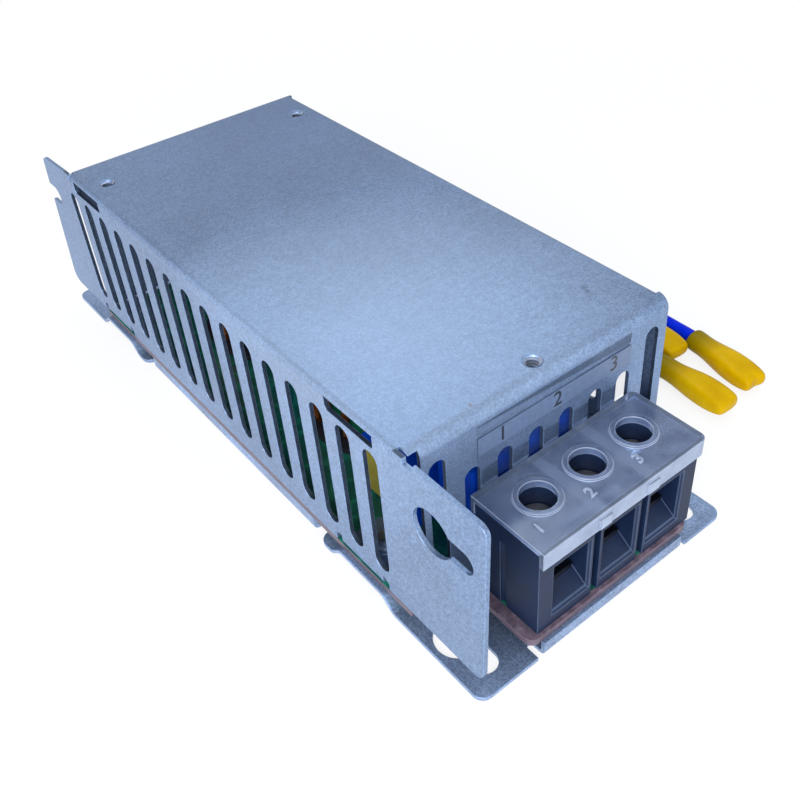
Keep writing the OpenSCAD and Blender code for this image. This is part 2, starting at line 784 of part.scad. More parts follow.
// Flat outline of the base plate with its reliefs, keyholes and notches
module base_outline() {
    near = -near_foot;
    far = cover_l + far_foot;
    near_part = wall_from - 2 * relief_r - near;
    far_part = far - wall_to - 2 * relief_r;
    web = wall_x - base_fold_r;
    difference() {
        union() {
            translate([-base_w / 2, near]) rounded_square([base_w, near_part], foot_r);
            translate([-base_w / 2, far - far_part]) rounded_square([base_w, far_part], foot_r);
            translate([-web, near + foot_r]) square([2 * web, far - near - 2 * foot_r]);
        }
        // Reliefs at the ends of the folded side walls
        for (side = [-1, 1], y = [wall_from - relief_r, wall_to + relief_r]) {
            translate([side * (web - relief_r), y]) circle(relief_r);
            translate([side * web - relief_r, y - relief_r]) square([2 * relief_r, 2 * relief_r]);
        }
        // The plate is folded up as a lip between two slits
        translate([-lip_left - relief_r, near - over])
            square([lip_left + lip_right + 2 * relief_r, base_fold_r + over]);
        for (x = [-lip_left - relief_r / 2, lip_right + relief_r / 2])
            translate([x, near + lip_slit_l]) rotate(180) slot(relief_r, 0, lip_slit_l + over);
        for (side = [-1, 1]) {
            translate([side * foot_hole_x, -key_y]) rotate(90) keyhole(key_r, foot_slot_w, key_l);
            translate([side * foot_hole_x, far - foot_notch_l + foot_slot_w / 2]) {
                circle(foot_slot_w / 2);
                translate([-foot_slot_w / 2, 0]) square([foot_slot_w, foot_notch_l]);
            }
            for (y = platform_y) translate([side * screw_x, y]) circle(d = screw_hole_d);
        }
    }
}

// Section of an edge folded up as far as the board
module upturn_section() {
    translate([0, floor_low + base_fold_r])
        square([sheet_t, board_low - floor_low - base_fold_r]);
    translate([base_fold_r, floor_low + base_fold_r]) mirror([0, 1]) bend(base_fold_r, sheet_t);
}

module base_plate() {
    color("lightsteelblue") seated() {
        intersection() {
            difference() {
                union() {
                    block([-base_w, near_end, floor_low], [base_w, far_end, floor_top]);
                    swells(0, floor_low);
                }
                swells(sheet_t, floor_low - over);
            }
            translate([0, 0, floor_low - over])
                linear_extrude(board_low - floor_low + 2 * over) base_outline();
        }
        for (side = [0, 1]) mirror([side, 0, 0])
            along_y(wall_from, wall_to) translate([-wall_x, 0]) upturn_section();
        along_x(-lip_left, lip_right) translate([-near_foot, 0]) upturn_section();
    }
}

// Two leads in a row, seen from above
function pair(at, pitch, turn = 0) = [
    for (side = [-0.5, 0.5]) at + side * pitch * [cos(turn), sin(turn)]
];

// The four ends of a choke's windings
function choke_ends(y) = [
    for (side = [0, 180], edge = [-1, 1])
        let(a = side + edge * winding_span / 2)
        [choke_lead_r * cos(a), y + choke_lead_r * sin(a)]
];

fine_pins = concat(
    pair(input_cap_at, input_cap_pitch),
    pair(middle_cap_at, middle_cap_pitch),
    pair(side_cap_at, side_cap_pitch, 90),
    pair(resistor_at, resistor_pitch),
    [for (at = disc_at) each pair(at, disc_pitch)]
);

module circuit_board() {
    color("darkgreen") seated() translate([0, 0, board_low]) linear_extrude(board_t) difference() {
        union() {
            translate([-wall_x, board_end]) square([cover_w, cover_l - 2 * board_end]);
            translate([tongue_x - tongue_w / 2, -tongue])
                rounded_square([tongue_w, tongue + board_end + 2 * tongue_r], tongue_r);
        }
        for (x = [-screw_x, screw_x], y = platform_y) translate([x, y]) circle(d = screw_hole_d);
        for (at = fine_pins) translate(at) circle(d = pin_d + hole_clearance, $fn = 16);
        for (y = [input_choke_y, output_choke_y], at = choke_ends(y))
            translate(at) circle(d = wire_d + hole_clearance, $fn = 24);
        for (x = pole_x, y = pole_pin_y)
            translate([x, y]) circle(d = frame_pin_d + hole_clearance, $fn = 16);
    }
}

module board_screw() {
    translate([0, 0, board_low - sheet_t]) {
        cylinder(d = screw_d, h = screw_l);
        translate([0, 0, -screw_head_h]) difference() {
            cylinder(d = screw_head_d, h = screw_head_h);
            for (turn = [0, 90]) rotate(turn)
                block([-screw_head_d / 3, -0.4, -over], [screw_head_d / 3, 0.4, screw_head_h / 2]);
        }
    }
}

module board_screws() {
    color("silver") seated() for (x = [-screw_x, screw_x], y = platform_y)
        translate([x, y, 0]) board_screw();
}

// A wire entry with bevelled edges, its floor climbing to the frame
module wire_entry() {
    back = well_at + frame_back + clear_fit;
    more = entry_bevel + over;
    along_x(-entry_w / 2, entry_w / 2) polygon([
        [terminal_front - over, entry_low],
        [terminal_front, entry_low],
        [terminal_front + sill_run, frame_z],
        [back, frame_z],
        [back, entry_high],
        [terminal_front - over, entry_high]
    ]);
    hull() {
        block([-entry_w / 2 - more, terminal_front - 2 * over, entry_low - more],
            [entry_w / 2 + more, terminal_front - over, entry_high + more]);
        block([-entry_w / 2, terminal_front, entry_low],
            [entry_w / 2, terminal_front + entry_bevel, entry_high]);
    }
}

module terminal_housing() {
    color([0.13, 0.14, 0.17]) seated() difference() {
        block([terminal_left, terminal_front, 0],
            [terminal_left + terminal_w, -terminal_y, terminal_h]);
        for (x = pole_x) translate([x, 0, 0]) {
            wire_entry();
            // Well for the screwdriver and the screw's head
            translate([0, well_at, entry_high - over]) cylinder(d = well_d, h = terminal_h);
            for (y = pole_pin_y) translate([0, y, -over])
                cylinder(d = frame_pin_d + hole_clearance, h = frame_z + 2 * over, $fn = 16);
        }
        // Slits between the poles
        for (i = [0:pole_count - 2])
            translate([pole_x[i] + pole_pitch / 2, 0, 0])
                block([-slit_w / 2, terminal_front - over, -over],
                    [slit_w / 2, terminal_front + slit_d, terminal_h - slit_roof]);
        // Grooves down the two ends
        for (x = [terminal_left, terminal_left + terminal_w])
            translate([x, well_at, -over]) cylinder(r = groove_r, h = terminal_h - groove_roof, $fn = 24);
    }
}

// Bent brass frame of a pole: floor, back and a tapped bridge, with two board pins
module terminal_frame() {
    front = well_at - frame_front;
    back = well_at + frame_back;
    difference() {
        union() {
            block([-frame_w / 2, front, frame_z], [frame_w / 2, back, frame_z + frame_t]);
            block([-frame_w / 2, back - frame_t, frame_z], [frame_w / 2, back, frame_top]);
            block([-frame_w / 2, front, frame_top - frame_t], [frame_w / 2, back, frame_top]);
        }
        translate([0, well_at, frame_top - frame_t - over])
            cylinder(d = clamp_screw_d + 0.1, h = frame_t + 2 * over);
    }
    for (y = pole_pin_y) translate([0, y, board_low - pin_out])
        cylinder(d = frame_pin_d, h = frame_z - board_low + pin_out + frame_t / 2, $fn = 16);
}

module terminal_frames() {
    color("goldenrod") seated() for (x = pole_x) translate([x, 0, 0]) terminal_frame();
}

module terminal_screw() {
    tip = frame_z + frame_t + plate_z + plate_t;
    head = frame_top + head_gap;
    arm = clamp_head_d / 2.6;
    translate([0, well_at, tip]) cylinder(d = clamp_screw_d, h = head - tip);
    translate([0, well_at, head]) difference() {
        cylinder(d = clamp_head_d, h = clamp_head_h);
        for (turn = [0, 90]) rotate(turn)
            block([-arm, -drive_w / 2, clamp_head_h - drive_depth],
                [arm, drive_w / 2, clamp_head_h + over]);
    }
}

module terminal_screws() {
    color("silver") seated() for (x = pole_x) translate([x, 0, 0]) terminal_screw();
}

module pressure_plates() {
    low = frame_z + frame_t + plate_z;
    half = frame_w / 2 - plate_gap;
    color("silver") seated() for (x = pole_x)
        block([x - half, well_at - half, low], [x + half, well_at + half, low + plate_t]);
}

// Clear cover: a channel with lips, closed at its right end, snapped over the body
module terminal_cover() {
    left = terminal_left - clear_fit;
    right = terminal_left + terminal_w;
    front = terminal_front - clear_t;
    back = -terminal_y + clear_t - clear_fit;
    low = clear_top - lip_h;
    color([0.8, 0.85, 0.9, 0.5]) seated() difference() {
        union() {
            translate([left, front, low]) linear_extrude(lip_h) union() {
                rounded_square([right + clear_end_t - left, back - front], clear_r);
                square([2 * clear_r, back - front]);
            }
            // Tabs between the poles
            for (i = [0:pole_count - 2])
                translate([pole_x[i] + pole_pitch / 2, 0, 0])
                    block([-slit_tab[0] / 2, front - slit_tab[1], low + slit_tab[2]],
                        [slit_tab[0] / 2, front + clear_t / 2, clear_top - clear_t]);
            for (x = pole_x) translate([x, well_at, terminal_h]) cylinder(d = rim_d, h = clear_t + rim_h);
        }
        block([left - over, terminal_front, low - over], [right, -terminal_y, terminal_h]);
        for (x = pole_x) translate([x, well_at, terminal_h - over])
            cylinder(d = driver_hole_d, h = clear_t + rim_h + 2 * over);
    }
}

module label_film() {
    color([0.9, 0.95, 1, 0.3]) seated()
        block([-label_left, -film_t, film_low], [-label_left + label_w, 0, film_high]);
}

module label_strip() {
    color("aliceblue") seated()
        block([-label_left, -film_t - strip_t, strip_low],
            [-label_left + label_w, -film_t, strip_low + strip_h]);
}

// A boxed film capacitor with its two leads
module box_capacitor(size, pitch) {
    translate([-size[0] / 2, -size[1] / 2, stand_off])
        linear_extrude(size[2] - stand_off) rounded_square([size[0], size[1]], case_r);
    for (x = [-1, 1], y = [-1, 1])
        translate([x * (size[0] / 2 - 2 * case_r), y * (size[1] / 2 - 2 * case_r), 0])
            cylinder(r = case_r, h = 1, $fn = 24);
    for (side = [-0.5, 0.5]) translate([side * pitch, 0, board_low - pin_out])
        cylinder(d = pin_d, h = pin_out + board_t + 1, $fn = 16);
}

module input_capacitor() {
    color("royalblue") seated() translate(input_cap_at) box_capacitor(input_cap, input_cap_pitch);
}

module middle_capacitor() {
    color("royalblue") seated() translate(middle_cap_at) box_capacitor(middle_cap, middle_cap_pitch);
}

module side_capacitor() {
    color("olive") seated() translate(side_cap_at) rotate(90) box_capacitor(side_cap, side_cap_pitch);
}

// A lacquered ceramic disc standing on its two leads
module disc_capacitor() {
    z = disc_d / 2 + disc_foot;
    translate([0, disc_t / 2, z]) rotate([90, 0, 0]) cylinder(d = disc_d, h = disc_t);
    for (side = [-0.5, 0.5]) translate([side * disc_pitch, 0, 0]) {
        translate([0, 0, board_low - pin_out]) cylinder(d = pin_d, h = pin_out + board_t + z, $fn = 16);
        translate([0, 0, 1]) cylinder(d = 2, h = z - 1, $fn = 24);
    }
}

module disc_capacitors() {
    color("steelblue") seated() for (at = disc_at) translate(at) disc_capacitor();
}

// An axial resistor lying above the board on two bent leads
module discharge_resistor() {
    body = 6.4;
    z = resistor_z;
    bend_at = resistor_pitch / 2 - lead_bend_r;
    color("tan") seated() translate(resistor_at) {
        translate([-body / 2, 0, z]) rotate([0, 90, 0]) cylinder(d = 2.2, h = body, $fn = 32);
        for (side = [0, 1]) mirror([side, 0, 0]) {
            translate([-body / 2 - 0.2, 0, z]) rotate([0, 90, 0]) cylinder(d = 2.5, h = 1.6, $fn = 32);
            translate([-bend_at, 0, z]) rotate([0, 90, 0]) cylinder(d = pin_d, h = bend_at, $fn = 16);
            translate([-bend_at, 0, z - lead_bend_r]) rotate([90, 0, 0])
                rotate_extrude(angle = 90, start = 90)
                    translate([lead_bend_r, 0]) circle(d = pin_d, $fn = 16);
            translate([-resistor_pitch / 2, 0, board_low - pin_out])
                cylinder(d = pin_d, h = z - lead_bend_r - board_low + pin_out, $fn = 16);
        }
    }
}

// The coated ring, with rounded edges
module choke_core() {
    translate([0, 0, core_z - core_h / 2]) rotate_extrude($fn = 96)
        translate([core_bore_d / 2, 0]) rounded_square([core_wall, core_h], core_edge_r);
}

// A point of the wire's way round the core's section: three to each corner
function section_point(i) =
    let(
        corner = floor(i / 3) % 4,
        a = 90 * corner + 45 * (i % 3),
        out = corner == 0 || corner == 3 ? 1 : -1,
        up = corner < 2 ? 1 : -1
    )
    [out * section_w + bend_r * cos(a), up * section_h + bend_r * sin(a)];

function on_ring(r, a, z) = [r * cos(a), r * sin(a), z];

// The whole way of one winding: up from the board, round and round, and down again
function winding_route(side) =
    let(
        last = 12 * turns - 3,
        first_a = side - winding_span / 2,
        last_a = side + winding_span / 2,
        low = board_low - pin_out
    )
    concat(
        [on_ring(choke_lead_r, first_a, low), on_ring(choke_lead_r, first_a, 2.4)],
        [
            for (i = [0:last])
                let(p = section_point(i), a = first_a + winding_span * i / last)
                on_ring(core_mid_r + p[0], a, core_z + p[1])
        ],
        [
            on_ring(choke_lead_r - 1.4, last_a, core_z - section_h - bend_r - 0.1),
            on_ring(choke_lead_r - 0.3, last_a, core_z - section_h - bend_r - 0.8),
            on_ring(choke_lead_r, last_a, 0.4),
            on_ring(choke_lead_r, last_a, low)
        ]
    );

module choke_windings() {
    for (side = [0, 180])
        tube(winding_route(side), wire_d, 6, on_ring(1, side - winding_span / 2 + 90, 0));
}

// Plastic disc under the ring, with a wall that parts the two windings
module choke_carrier() {
    difference() {
        cylinder(d = carrier_d, h = carrier_t, $fn = 96);
        for (at = choke_ends(0)) translate([at[0], at[1], -over])
            cylinder(d = wire_d + 1.8, h = carrier_t + 2 * over, $fn = 32);
    }
    block([-divider_t / 2, -core_bore_d / 2 + 0.4, 0],
        [divider_t / 2, core_bore_d / 2 - 0.4, core_z + core_h / 2]);
    // Two posts that carry the ring between its windings
    for (y = [-1, 1]) translate([-post_size[0] / 2, y * core_mid_r - post_size[1] / 2, 0])
        cube([post_size[0], post_size[1], core_z - core_h / 2]);
}

module input_choke_core() {
    color("darkgreen") seated() translate([0, input_choke_y, 0]) choke_core();
}

module input_choke_windings() {
    color("peru") seated() translate([0, input_choke_y, 0]) choke_windings();
}

module input_choke_carrier() {
    color("dimgray") seated() translate([0, input_choke_y, 0]) choke_carrier();
}

module output_choke_core() {
    color("darkgreen") seated() translate([0, output_choke_y, 0]) choke_core();
}

module output_choke_windings() {
    color("peru") seated() translate([0, output_choke_y, 0]) choke_windings();
}

module output_choke_carrier() {
    color("dimgray") seated() translate([0, output_choke_y, 0]) choke_carrier();
}

// Outline of the bushing's neck, or of what is wider than it all round
module bushing_outline(more) {
    r = bushing_h / 2 + more;
    x = (bushing_w - bushing_h) / 2;
    for (side = [-1, 1]) translate([side * x, 0]) circle(r);
    translate([-x, -r]) square([2 * x, 2 * r]);
}

module lead_bushing() {
    fit = -0.05;
    color([0.1, 0.1, 0.1]) seated() difference() {
        union() {
            along_y(cover_l - sheet_t - over, cover_l + over)
                translate([lead_x[1], bushing_z]) bushing_outline(fit);
            along_y(cover_l - sheet_t - flange_w, cover_l - sheet_t)
                translate([lead_x[1], bushing_z]) bushing_outline(flange_w * 0.6);
            along_y(cover_l, cover_l + flange_w)
                translate([lead_x[1], bushing_z]) bushing_outline(flange_w);
        }
        for (x = lead_x) translate([x, cover_l - sheet_t - 2 * flange_w, bushing_z])
            rotate([-90, 0, 0]) cylinder(d = bushing_bore_d, h = sheet_t + 4 * flange_w, $fn = 32);
    }
}

module blue_lead() {
    color("blue") tube(blue_route, lead_d, 8, [1, 0, 0]);
}

module earth_lead() {
    color("yellowgreen") tube(earth_route, lead_d, 8, [1, 0, 0]);
}

module brown_lead() {
    color("saddlebrown") tube(brown_route, lead_d, 8, [1, 0, 0]);
}

// How far a lead reaches into its end cap
function lead_in(route) = norm(route[len(route) - 1] - route[len(route) - 2]);

// Places a piece on the end of a lead, its own +Z running on from the cap's mouth
module on_lead_end(route) {
    mouth = route[len(route) - 2];
    tip = route[len(route) - 1];
    translate(mouth) rotate([0, 0, atan2(tip[1] - mouth[1], tip[0] - mouth[0])])
        rotate([0, 90, 0]) children();
}

// Yellow end cap: soft vinyl, pinched behind its mouth, pressed flat towards its tip
module end_cap(lead_in) {
    rings = len(cap_sections);
    sides = 20;
    difference() {
        polyhedron(
            points = [
                for (c = cap_sections, k = [0:sides - 1])
                    let(a = 360 * (k + 0.5) / sides)
                    [c[2] / 2 * cos(a), c[1] / 2 * sin(a), c[0] * cap_l]
            ],
            faces = concat(
                [[for (k = [0:sides - 1]) k]],
                [[for (k = [0:sides - 1]) rings * sides - 1 - k]],
                ring_faces(rings, sides)
            )
        );
        translate([0, 0, -over]) cylinder(d = cap_bore_d, h = lead_in + sleeve_l + over);
    }
}

// Crimped sleeve on the bare end of the lead, inside the cap
module crimp_sleeve(lead_in) {
    translate([0, 0, lead_in]) difference() {
        cylinder(d = lead_d, h = sleeve_l);
        translate([0, 0, 1]) cylinder(d = lead_d - 2 * crimp_t, h = sleeve_l);
    }
}

module blue_cap() {
    color("gold") on_lead_end(blue_route) end_cap(lead_in(blue_route));
}

module earth_cap() {
    color("gold") on_lead_end(earth_route) end_cap(lead_in(earth_route));
}

module brown_cap() {
    color("gold") on_lead_end(brown_route) end_cap(lead_in(brown_route));
}

module blue_sleeve() {
    color("silver") on_lead_end(blue_route) crimp_sleeve(lead_in(blue_route));
}

module earth_sleeve() {
    color("silver") on_lead_end(earth_route) crimp_sleeve(lead_in(earth_route));
}

module brown_sleeve() {
    color("silver") on_lead_end(brown_route) crimp_sleeve(lead_in(brown_route));
}

cover();
base_plate();
circuit_board();
board_screws();
terminal_housing();
terminal_frames();
terminal_screws();
pressure_plates();
terminal_cover();
label_film();
label_strip();
input_capacitor();
middle_capacitor();
side_capacitor();
disc_capacitors();
discharge_resistor();
input_choke_core();
input_choke_windings();
input_choke_carrier();
output_choke_core();
output_choke_windings();
output_choke_carrier();
lead_bushing();
blue_lead();
earth_lead();
brown_lead();
blue_cap();
earth_cap();
brown_cap();
blue_sleeve();
earth_sleeve();
brown_sleeve();
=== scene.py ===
# %% [markdown]
# # A mains line filter, dressed around its fixed frame
# The frame holds every solid of the filter at its real size: a perforated, folded
# steel cover, a pressed base plate, a circuit board with two ring chokes, a
# three-pole screw terminal and three flying leads. Nothing in it is moved here.
# This lesson adds what a drawing can't hold: the bloom of the zinc, the soft vinyl
# of the end caps, the leads as smooth curves, the threads and the printed figures.

# %% Load the frame
import json
import math

import bpy
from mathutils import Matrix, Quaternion, Vector

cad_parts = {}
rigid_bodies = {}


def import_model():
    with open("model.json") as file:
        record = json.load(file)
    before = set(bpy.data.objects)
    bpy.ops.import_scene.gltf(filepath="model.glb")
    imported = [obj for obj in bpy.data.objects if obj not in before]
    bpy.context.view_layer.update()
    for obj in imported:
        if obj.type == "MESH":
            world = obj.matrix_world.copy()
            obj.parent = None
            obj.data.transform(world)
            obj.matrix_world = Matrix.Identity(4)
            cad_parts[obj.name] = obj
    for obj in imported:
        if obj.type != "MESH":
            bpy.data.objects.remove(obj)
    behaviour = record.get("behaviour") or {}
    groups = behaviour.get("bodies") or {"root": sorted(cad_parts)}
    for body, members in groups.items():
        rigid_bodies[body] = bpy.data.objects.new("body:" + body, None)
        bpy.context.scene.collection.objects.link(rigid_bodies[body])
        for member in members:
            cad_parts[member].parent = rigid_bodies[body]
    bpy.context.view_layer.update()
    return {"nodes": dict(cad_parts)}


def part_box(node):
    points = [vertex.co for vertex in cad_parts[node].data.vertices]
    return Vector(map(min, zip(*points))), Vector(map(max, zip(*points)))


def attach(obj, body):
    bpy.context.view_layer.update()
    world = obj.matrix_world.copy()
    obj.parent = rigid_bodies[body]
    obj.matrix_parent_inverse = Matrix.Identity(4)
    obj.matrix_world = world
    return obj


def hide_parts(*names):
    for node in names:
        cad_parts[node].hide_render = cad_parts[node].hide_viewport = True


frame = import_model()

nodes = frame["nodes"]
scene = bpy.context.scene
MM = 0.001

# %% [markdown]
# ## The camera
# The photograph looks down on the near left corner from the left of the terminal.
# A camera is easiest to read as a place, the two angles of its view and a small
# roll, so it is written that way. The lens has its middle a little off the
# picture's middle, and shift takes that up.

# %% Camera
CAMERA_AT = Vector((-97.74, -163.97, 159.59)) * MM
CAMERA_AZIMUTH = math.radians(-37.28)
CAMERA_ELEVATION = math.radians(39.16)
CAMERA_ROLL = math.radians(-3.53)
LENS_MM = 43.43
SENSOR_MM = 36
LENS_SHIFT = (-0.0424, -0.0394)


def aim_camera():
    """Makes the camera and turns it to the photograph's view."""
    back = Vector((
        math.sin(CAMERA_AZIMUTH) * math.cos(CAMERA_ELEVATION),
        -math.cos(CAMERA_AZIMUTH) * math.cos(CAMERA_ELEVATION),
        math.sin(CAMERA_ELEVATION),
    ))
    bpy.ops.object.camera_add(location=CAMERA_AT)
    camera = bpy.context.object
    camera.name = "photo_camera"
    roll = Quaternion((0, 0, 1), CAMERA_ROLL)
    camera.rotation_euler = ((-back).to_track_quat("-Z", "Y") @ roll).to_euler()
    camera.data.lens = LENS_MM
    camera.data.sensor_width = SENSOR_MM
    camera.data.shift_x, camera.data.shift_y = LENS_SHIFT
    camera.data.clip_start = 0.01
    camera.data.dof.use_dof = False
    scene.camera = camera
    return camera


camera = aim_camera()
print("camera at", [round(x, 4) for x in camera.location])

# %% [markdown]
# ## The three flying leads
# Each lead is soldered to the board, leaves the case through a bushing in the far
# end, drops to the table and is turned back along the filter's right side, where
# its capped end comes into view. A stranded lead of this thickness doesn't bend
# tighter than about four diameters. A curve with one open spline is the true form:
# its line is the lead's centreline, and its bevel is the insulation.

# %% Lead routes
LEAD_D = 3.8 * MM
BLUE_ROUTE = [
    (-1, 54.2, 5.6), (-1, 54.2, 7), (-1, 55.4, 12.2), (-1, 58.7, 17.2), (-1, 63.6, 20.5),
    (-1, 69.4, 21.6), (-1, 78, 21.5), (-0.6, 87, 20), (1.5, 96, 16), (6.5, 104, 10.4),
    (14, 110.4, 5.6), (23.5, 114.4, 2.6), (34, 116, 1.9), (45, 115.5, 1.9), (55.5, 112, 1.9),
    (64.5, 105.8, 1.9), (71.5, 97.4, 1.9), (76, 87.4, 1.9), (78, 76.4, 1.9),
    (78.3, 63, 1.9), (78.2, 49, 1.9), (77.9, 35, 1.9), (77.8, 21, 1.9), (77.9, 7, 1.9),
    (78.2, -7, 1.9), (78.4, -20, 1.9), (78.1, -32, 1.9), (77.4, -40.8, 2.4),
    (76.3, -47.9, 3.2), (75.5, -53.5, 3.2),
]
EARTH_ROUTE = [
    (6, 54.2, 5.6), (6, 54.2, 7), (6, 55.4, 12.2), (6, 58.7, 17.2), (6, 63.6, 20.5),
    (6, 69.4, 21.6), (6, 77.5, 21.4), (6.6, 86, 19.4), (9.4, 94.4, 14.8), (15, 101.2, 9.2),
    (22.6, 105.8, 4.6), (31.6, 107.8, 2.1), (41, 107.2, 1.9), (50, 103.6, 1.9),
    (57.8, 97.6, 1.9), (64, 89.8, 1.9), (68.4, 80.4, 1.9), (70.8, 70, 1.9),
    (71.5, 57, 1.9), (71.4, 43, 1.9), (71.2, 29, 1.9), (71.2, 15, 1.9), (71.4, 1, 1.9),
    (71.5, -11, 1.9), (71.4, -20, 2.3), (70.9, -27.2, 3.2), (70.45, -32.8, 3.2),
]
BROWN_ROUTE = [
    (13, 54.2, 5.6), (13, 54.2, 7), (13, 55.4, 12.2), (13, 58.7, 17.2), (13, 63.6, 20.5),
    (13, 69.4, 21.6), (13, 77, 21.2), (14.2, 85, 18.6), (18, 92, 13.6), (24.2, 97, 8),
    (31.8, 99.4, 3.9), (40, 98.8, 1.9), (48, 95.2, 1.9), (54.8, 89.2, 1.9),
    (60, 81.4, 1.9), (63, 72, 1.9), (64, 60, 1.9), (64, 46, 1.9), (63.8, 32, 1.9),
    (63.6, 18, 1.9), (63.6, 4, 1.9), (63.6, -10, 1.9), (63.4, -23, 1.9),
    (63, -33, 1.9), (62.4, -41.4, 2.4), (61.9, -48.5, 3.2), (61.8, -54, 3.2),
]
ROUTES = {"blue": BLUE_ROUTE, "earth": EARTH_ROUTE, "brown": BROWN_ROUTE}


def lead_curve(name, route):
    """A smooth curve of round section through a route's points.

    Each point carries the lead's own radius, so that the curve's box is no wider than the lead.
    """
    curve = bpy.data.curves.new(name, "CURVE")
    curve.dimensions = "3D"
    curve.bevel_depth = 1.0
    curve.bevel_resolution = 5
    curve.resolution_u = 8
    curve.use_fill_caps = True
    spline = curve.splines.new("BEZIER")
    spline.bezier_points.add(len(route) - 1)
    for point, at in zip(spline.bezier_points, route):
        point.co = Vector(at) * MM
        point.radius = LEAD_D / 2
        point.handle_left_type = point.handle_right_type = "AUTO"
    lead = bpy.data.objects.new(name, curve)
    scene.collection.objects.link(lead)
    return lead


# %% Leads
leads = {}
for lead_colour, route in ROUTES.items():
    lead = lead_curve(f"{lead_colour}_wire", route)
    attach(lead, "root")
    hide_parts(f"{lead_colour}_lead")
    leads[lead_colour] = lead
print("leads:", sorted(leads))

# %% Small modelling helpers
def only(piece):
    """Selects one object and makes it the active one."""
    bpy.ops.object.select_all(action="DESELECT")
    piece.select_set(True)
    bpy.context.view_layer.objects.active = piece


def applied(piece, kind, **settings):
    """Adds a modifier and applies it."""
    only(piece)
    modifier = piece.modifiers.new("step", kind)
    for name, value in settings.items():
        setattr(modifier, name, value)
    bpy.ops.object.modifier_apply(modifier=modifier.name)


def wear(piece, *finishes):
    """Gives a piece its finishes, the first one all over."""
    piece.data.materials.clear()
    for finish in finishes:
        piece.data.materials.append(finish)


# %% [markdown]
# ## The end caps
# Each lead ends in a push-on terminal under a boot of soft yellow vinyl. The boot
# grips the lead at its mouth, is pinched behind it, swells over the terminal, and
# is pressed flat at its tip. It is built the way a potter pulls a form: one ring is
# extruded along the boot and resized at each station, the mouth stays open with a
# real wall, and a subdivision surface makes it soft.

# %% End caps
# Each ring: its share of the length, its width and thickness in mm, and how squared it is
BOOT_RINGS = [
    (0.0, 6.0, 5.4, 0.0), (0.03, 6.4, 5.7, 0.0), (0.12, 6.3, 5.6, 0.0), (0.21, 6.0, 5.4, 0.1),
    (0.33, 6.5, 5.5, 0.2), (0.48, 7.4, 5.7, 0.4), (0.62, 7.8, 5.7, 0.6), (0.76, 7.9, 5.2, 0.8),
    (0.88, 7.5, 4.4, 0.9), (0.95, 6.9, 3.6, 1.0), (0.985, 6.2, 2.8, 1.0),
]
BOOT_L = 22.4 * MM
BOOT_SIDES = 16


def squared(vertex, half_w, half_t, amount):
    """Moves a vertex of a ring from an oval towards a rounded rectangle."""
    x, z = vertex.co.x / half_w, vertex.co.z / half_t
    longest = max(abs(x), abs(z), 1e-9)
    reach = 1 + amount * 0.8 * (1 / longest - 1)
    vertex.co.x, vertex.co.z = vertex.co.x * reach, vertex.co.z * reach


def vinyl_boot(name, notch, ridge):
    """The boot at the origin, its mouth at Y = 0 and its tip towards -Y."""
    bpy.ops.object.select_all(action="DESELECT")
    bpy.ops.mesh.primitive_circle_add(
        vertices=BOOT_SIDES, radius=1, fill_type="NOTHING", location=(0, 0, 0),
        rotation=(math.radians(90), 0, 0))
    piece = bpy.context.object
    piece.name = name
    bpy.ops.object.transform_apply(location=False, rotation=True, scale=False)
    bpy.ops.object.mode_set(mode="EDIT")
    bpy.ops.mesh.select_all(action="SELECT")
    first = BOOT_RINGS[0]
    bpy.ops.transform.resize(value=(first[1] / 2 * MM, 1, first[2] / 2 * MM), center_override=(0, 0, 0))
    for before, ring in zip(BOOT_RINGS, BOOT_RINGS[1:]):
        bpy.ops.mesh.extrude_region_move(
            TRANSFORM_OT_translate={"value": (0, -(ring[0] - before[0]) * BOOT_L, 0)})
        bpy.ops.transform.resize(
            value=(ring[1] / before[1], 1, ring[2] / before[2]), center_override=(0, 0, 0))
    bpy.ops.mesh.fill_grid(span=4)
    bpy.ops.object.mode_set(mode="OBJECT")
    for vertex in piece.data.vertices:
        along = -vertex.co.y / BOOT_L
        ring = min(BOOT_RINGS, key=lambda r: abs(r[0] - along))
        half_w, half_t = ring[1] / 2 * MM, ring[2] / 2 * MM
        if vertex.index >= len(BOOT_RINGS) * BOOT_SIDES:
            # The tip's own skin bulges a little, or is drawn in between its lobes
            across = abs(vertex.co.x) / half_w
            vertex.co.y += (notch * max(0, 1 - across / 0.45) - 0.35 * (1 - across ** 2)) * MM
            continue
        squared(vertex, half_w, half_t, ring[3])
        if notch and ring[3] >= 1:
            vertex.co.y += notch * 0.8 * max(0, 1 - abs(vertex.co.x) / half_w / 0.4) * MM
        # A ridge along the upper edge, where the terminal inside presses the vinyl out
        if ridge and along > 0.4 and vertex.co.z > 0 and 0.35 < abs(vertex.co.x) / half_w < 0.85:
            vertex.co.z += ridge * MM
    only(piece)
    bpy.ops.object.mode_set(mode="EDIT")
    bpy.ops.mesh.select_all(action="SELECT")
    bpy.ops.mesh.normals_make_consistent(inside=False)
    bpy.ops.object.mode_set(mode="OBJECT")
    applied(piece, "SOLIDIFY", thickness=0.6 * MM, offset=-1)
    applied(piece, "SUBSURF", levels=2, render_levels=2)
    bpy.ops.object.shade_smooth()
    return piece


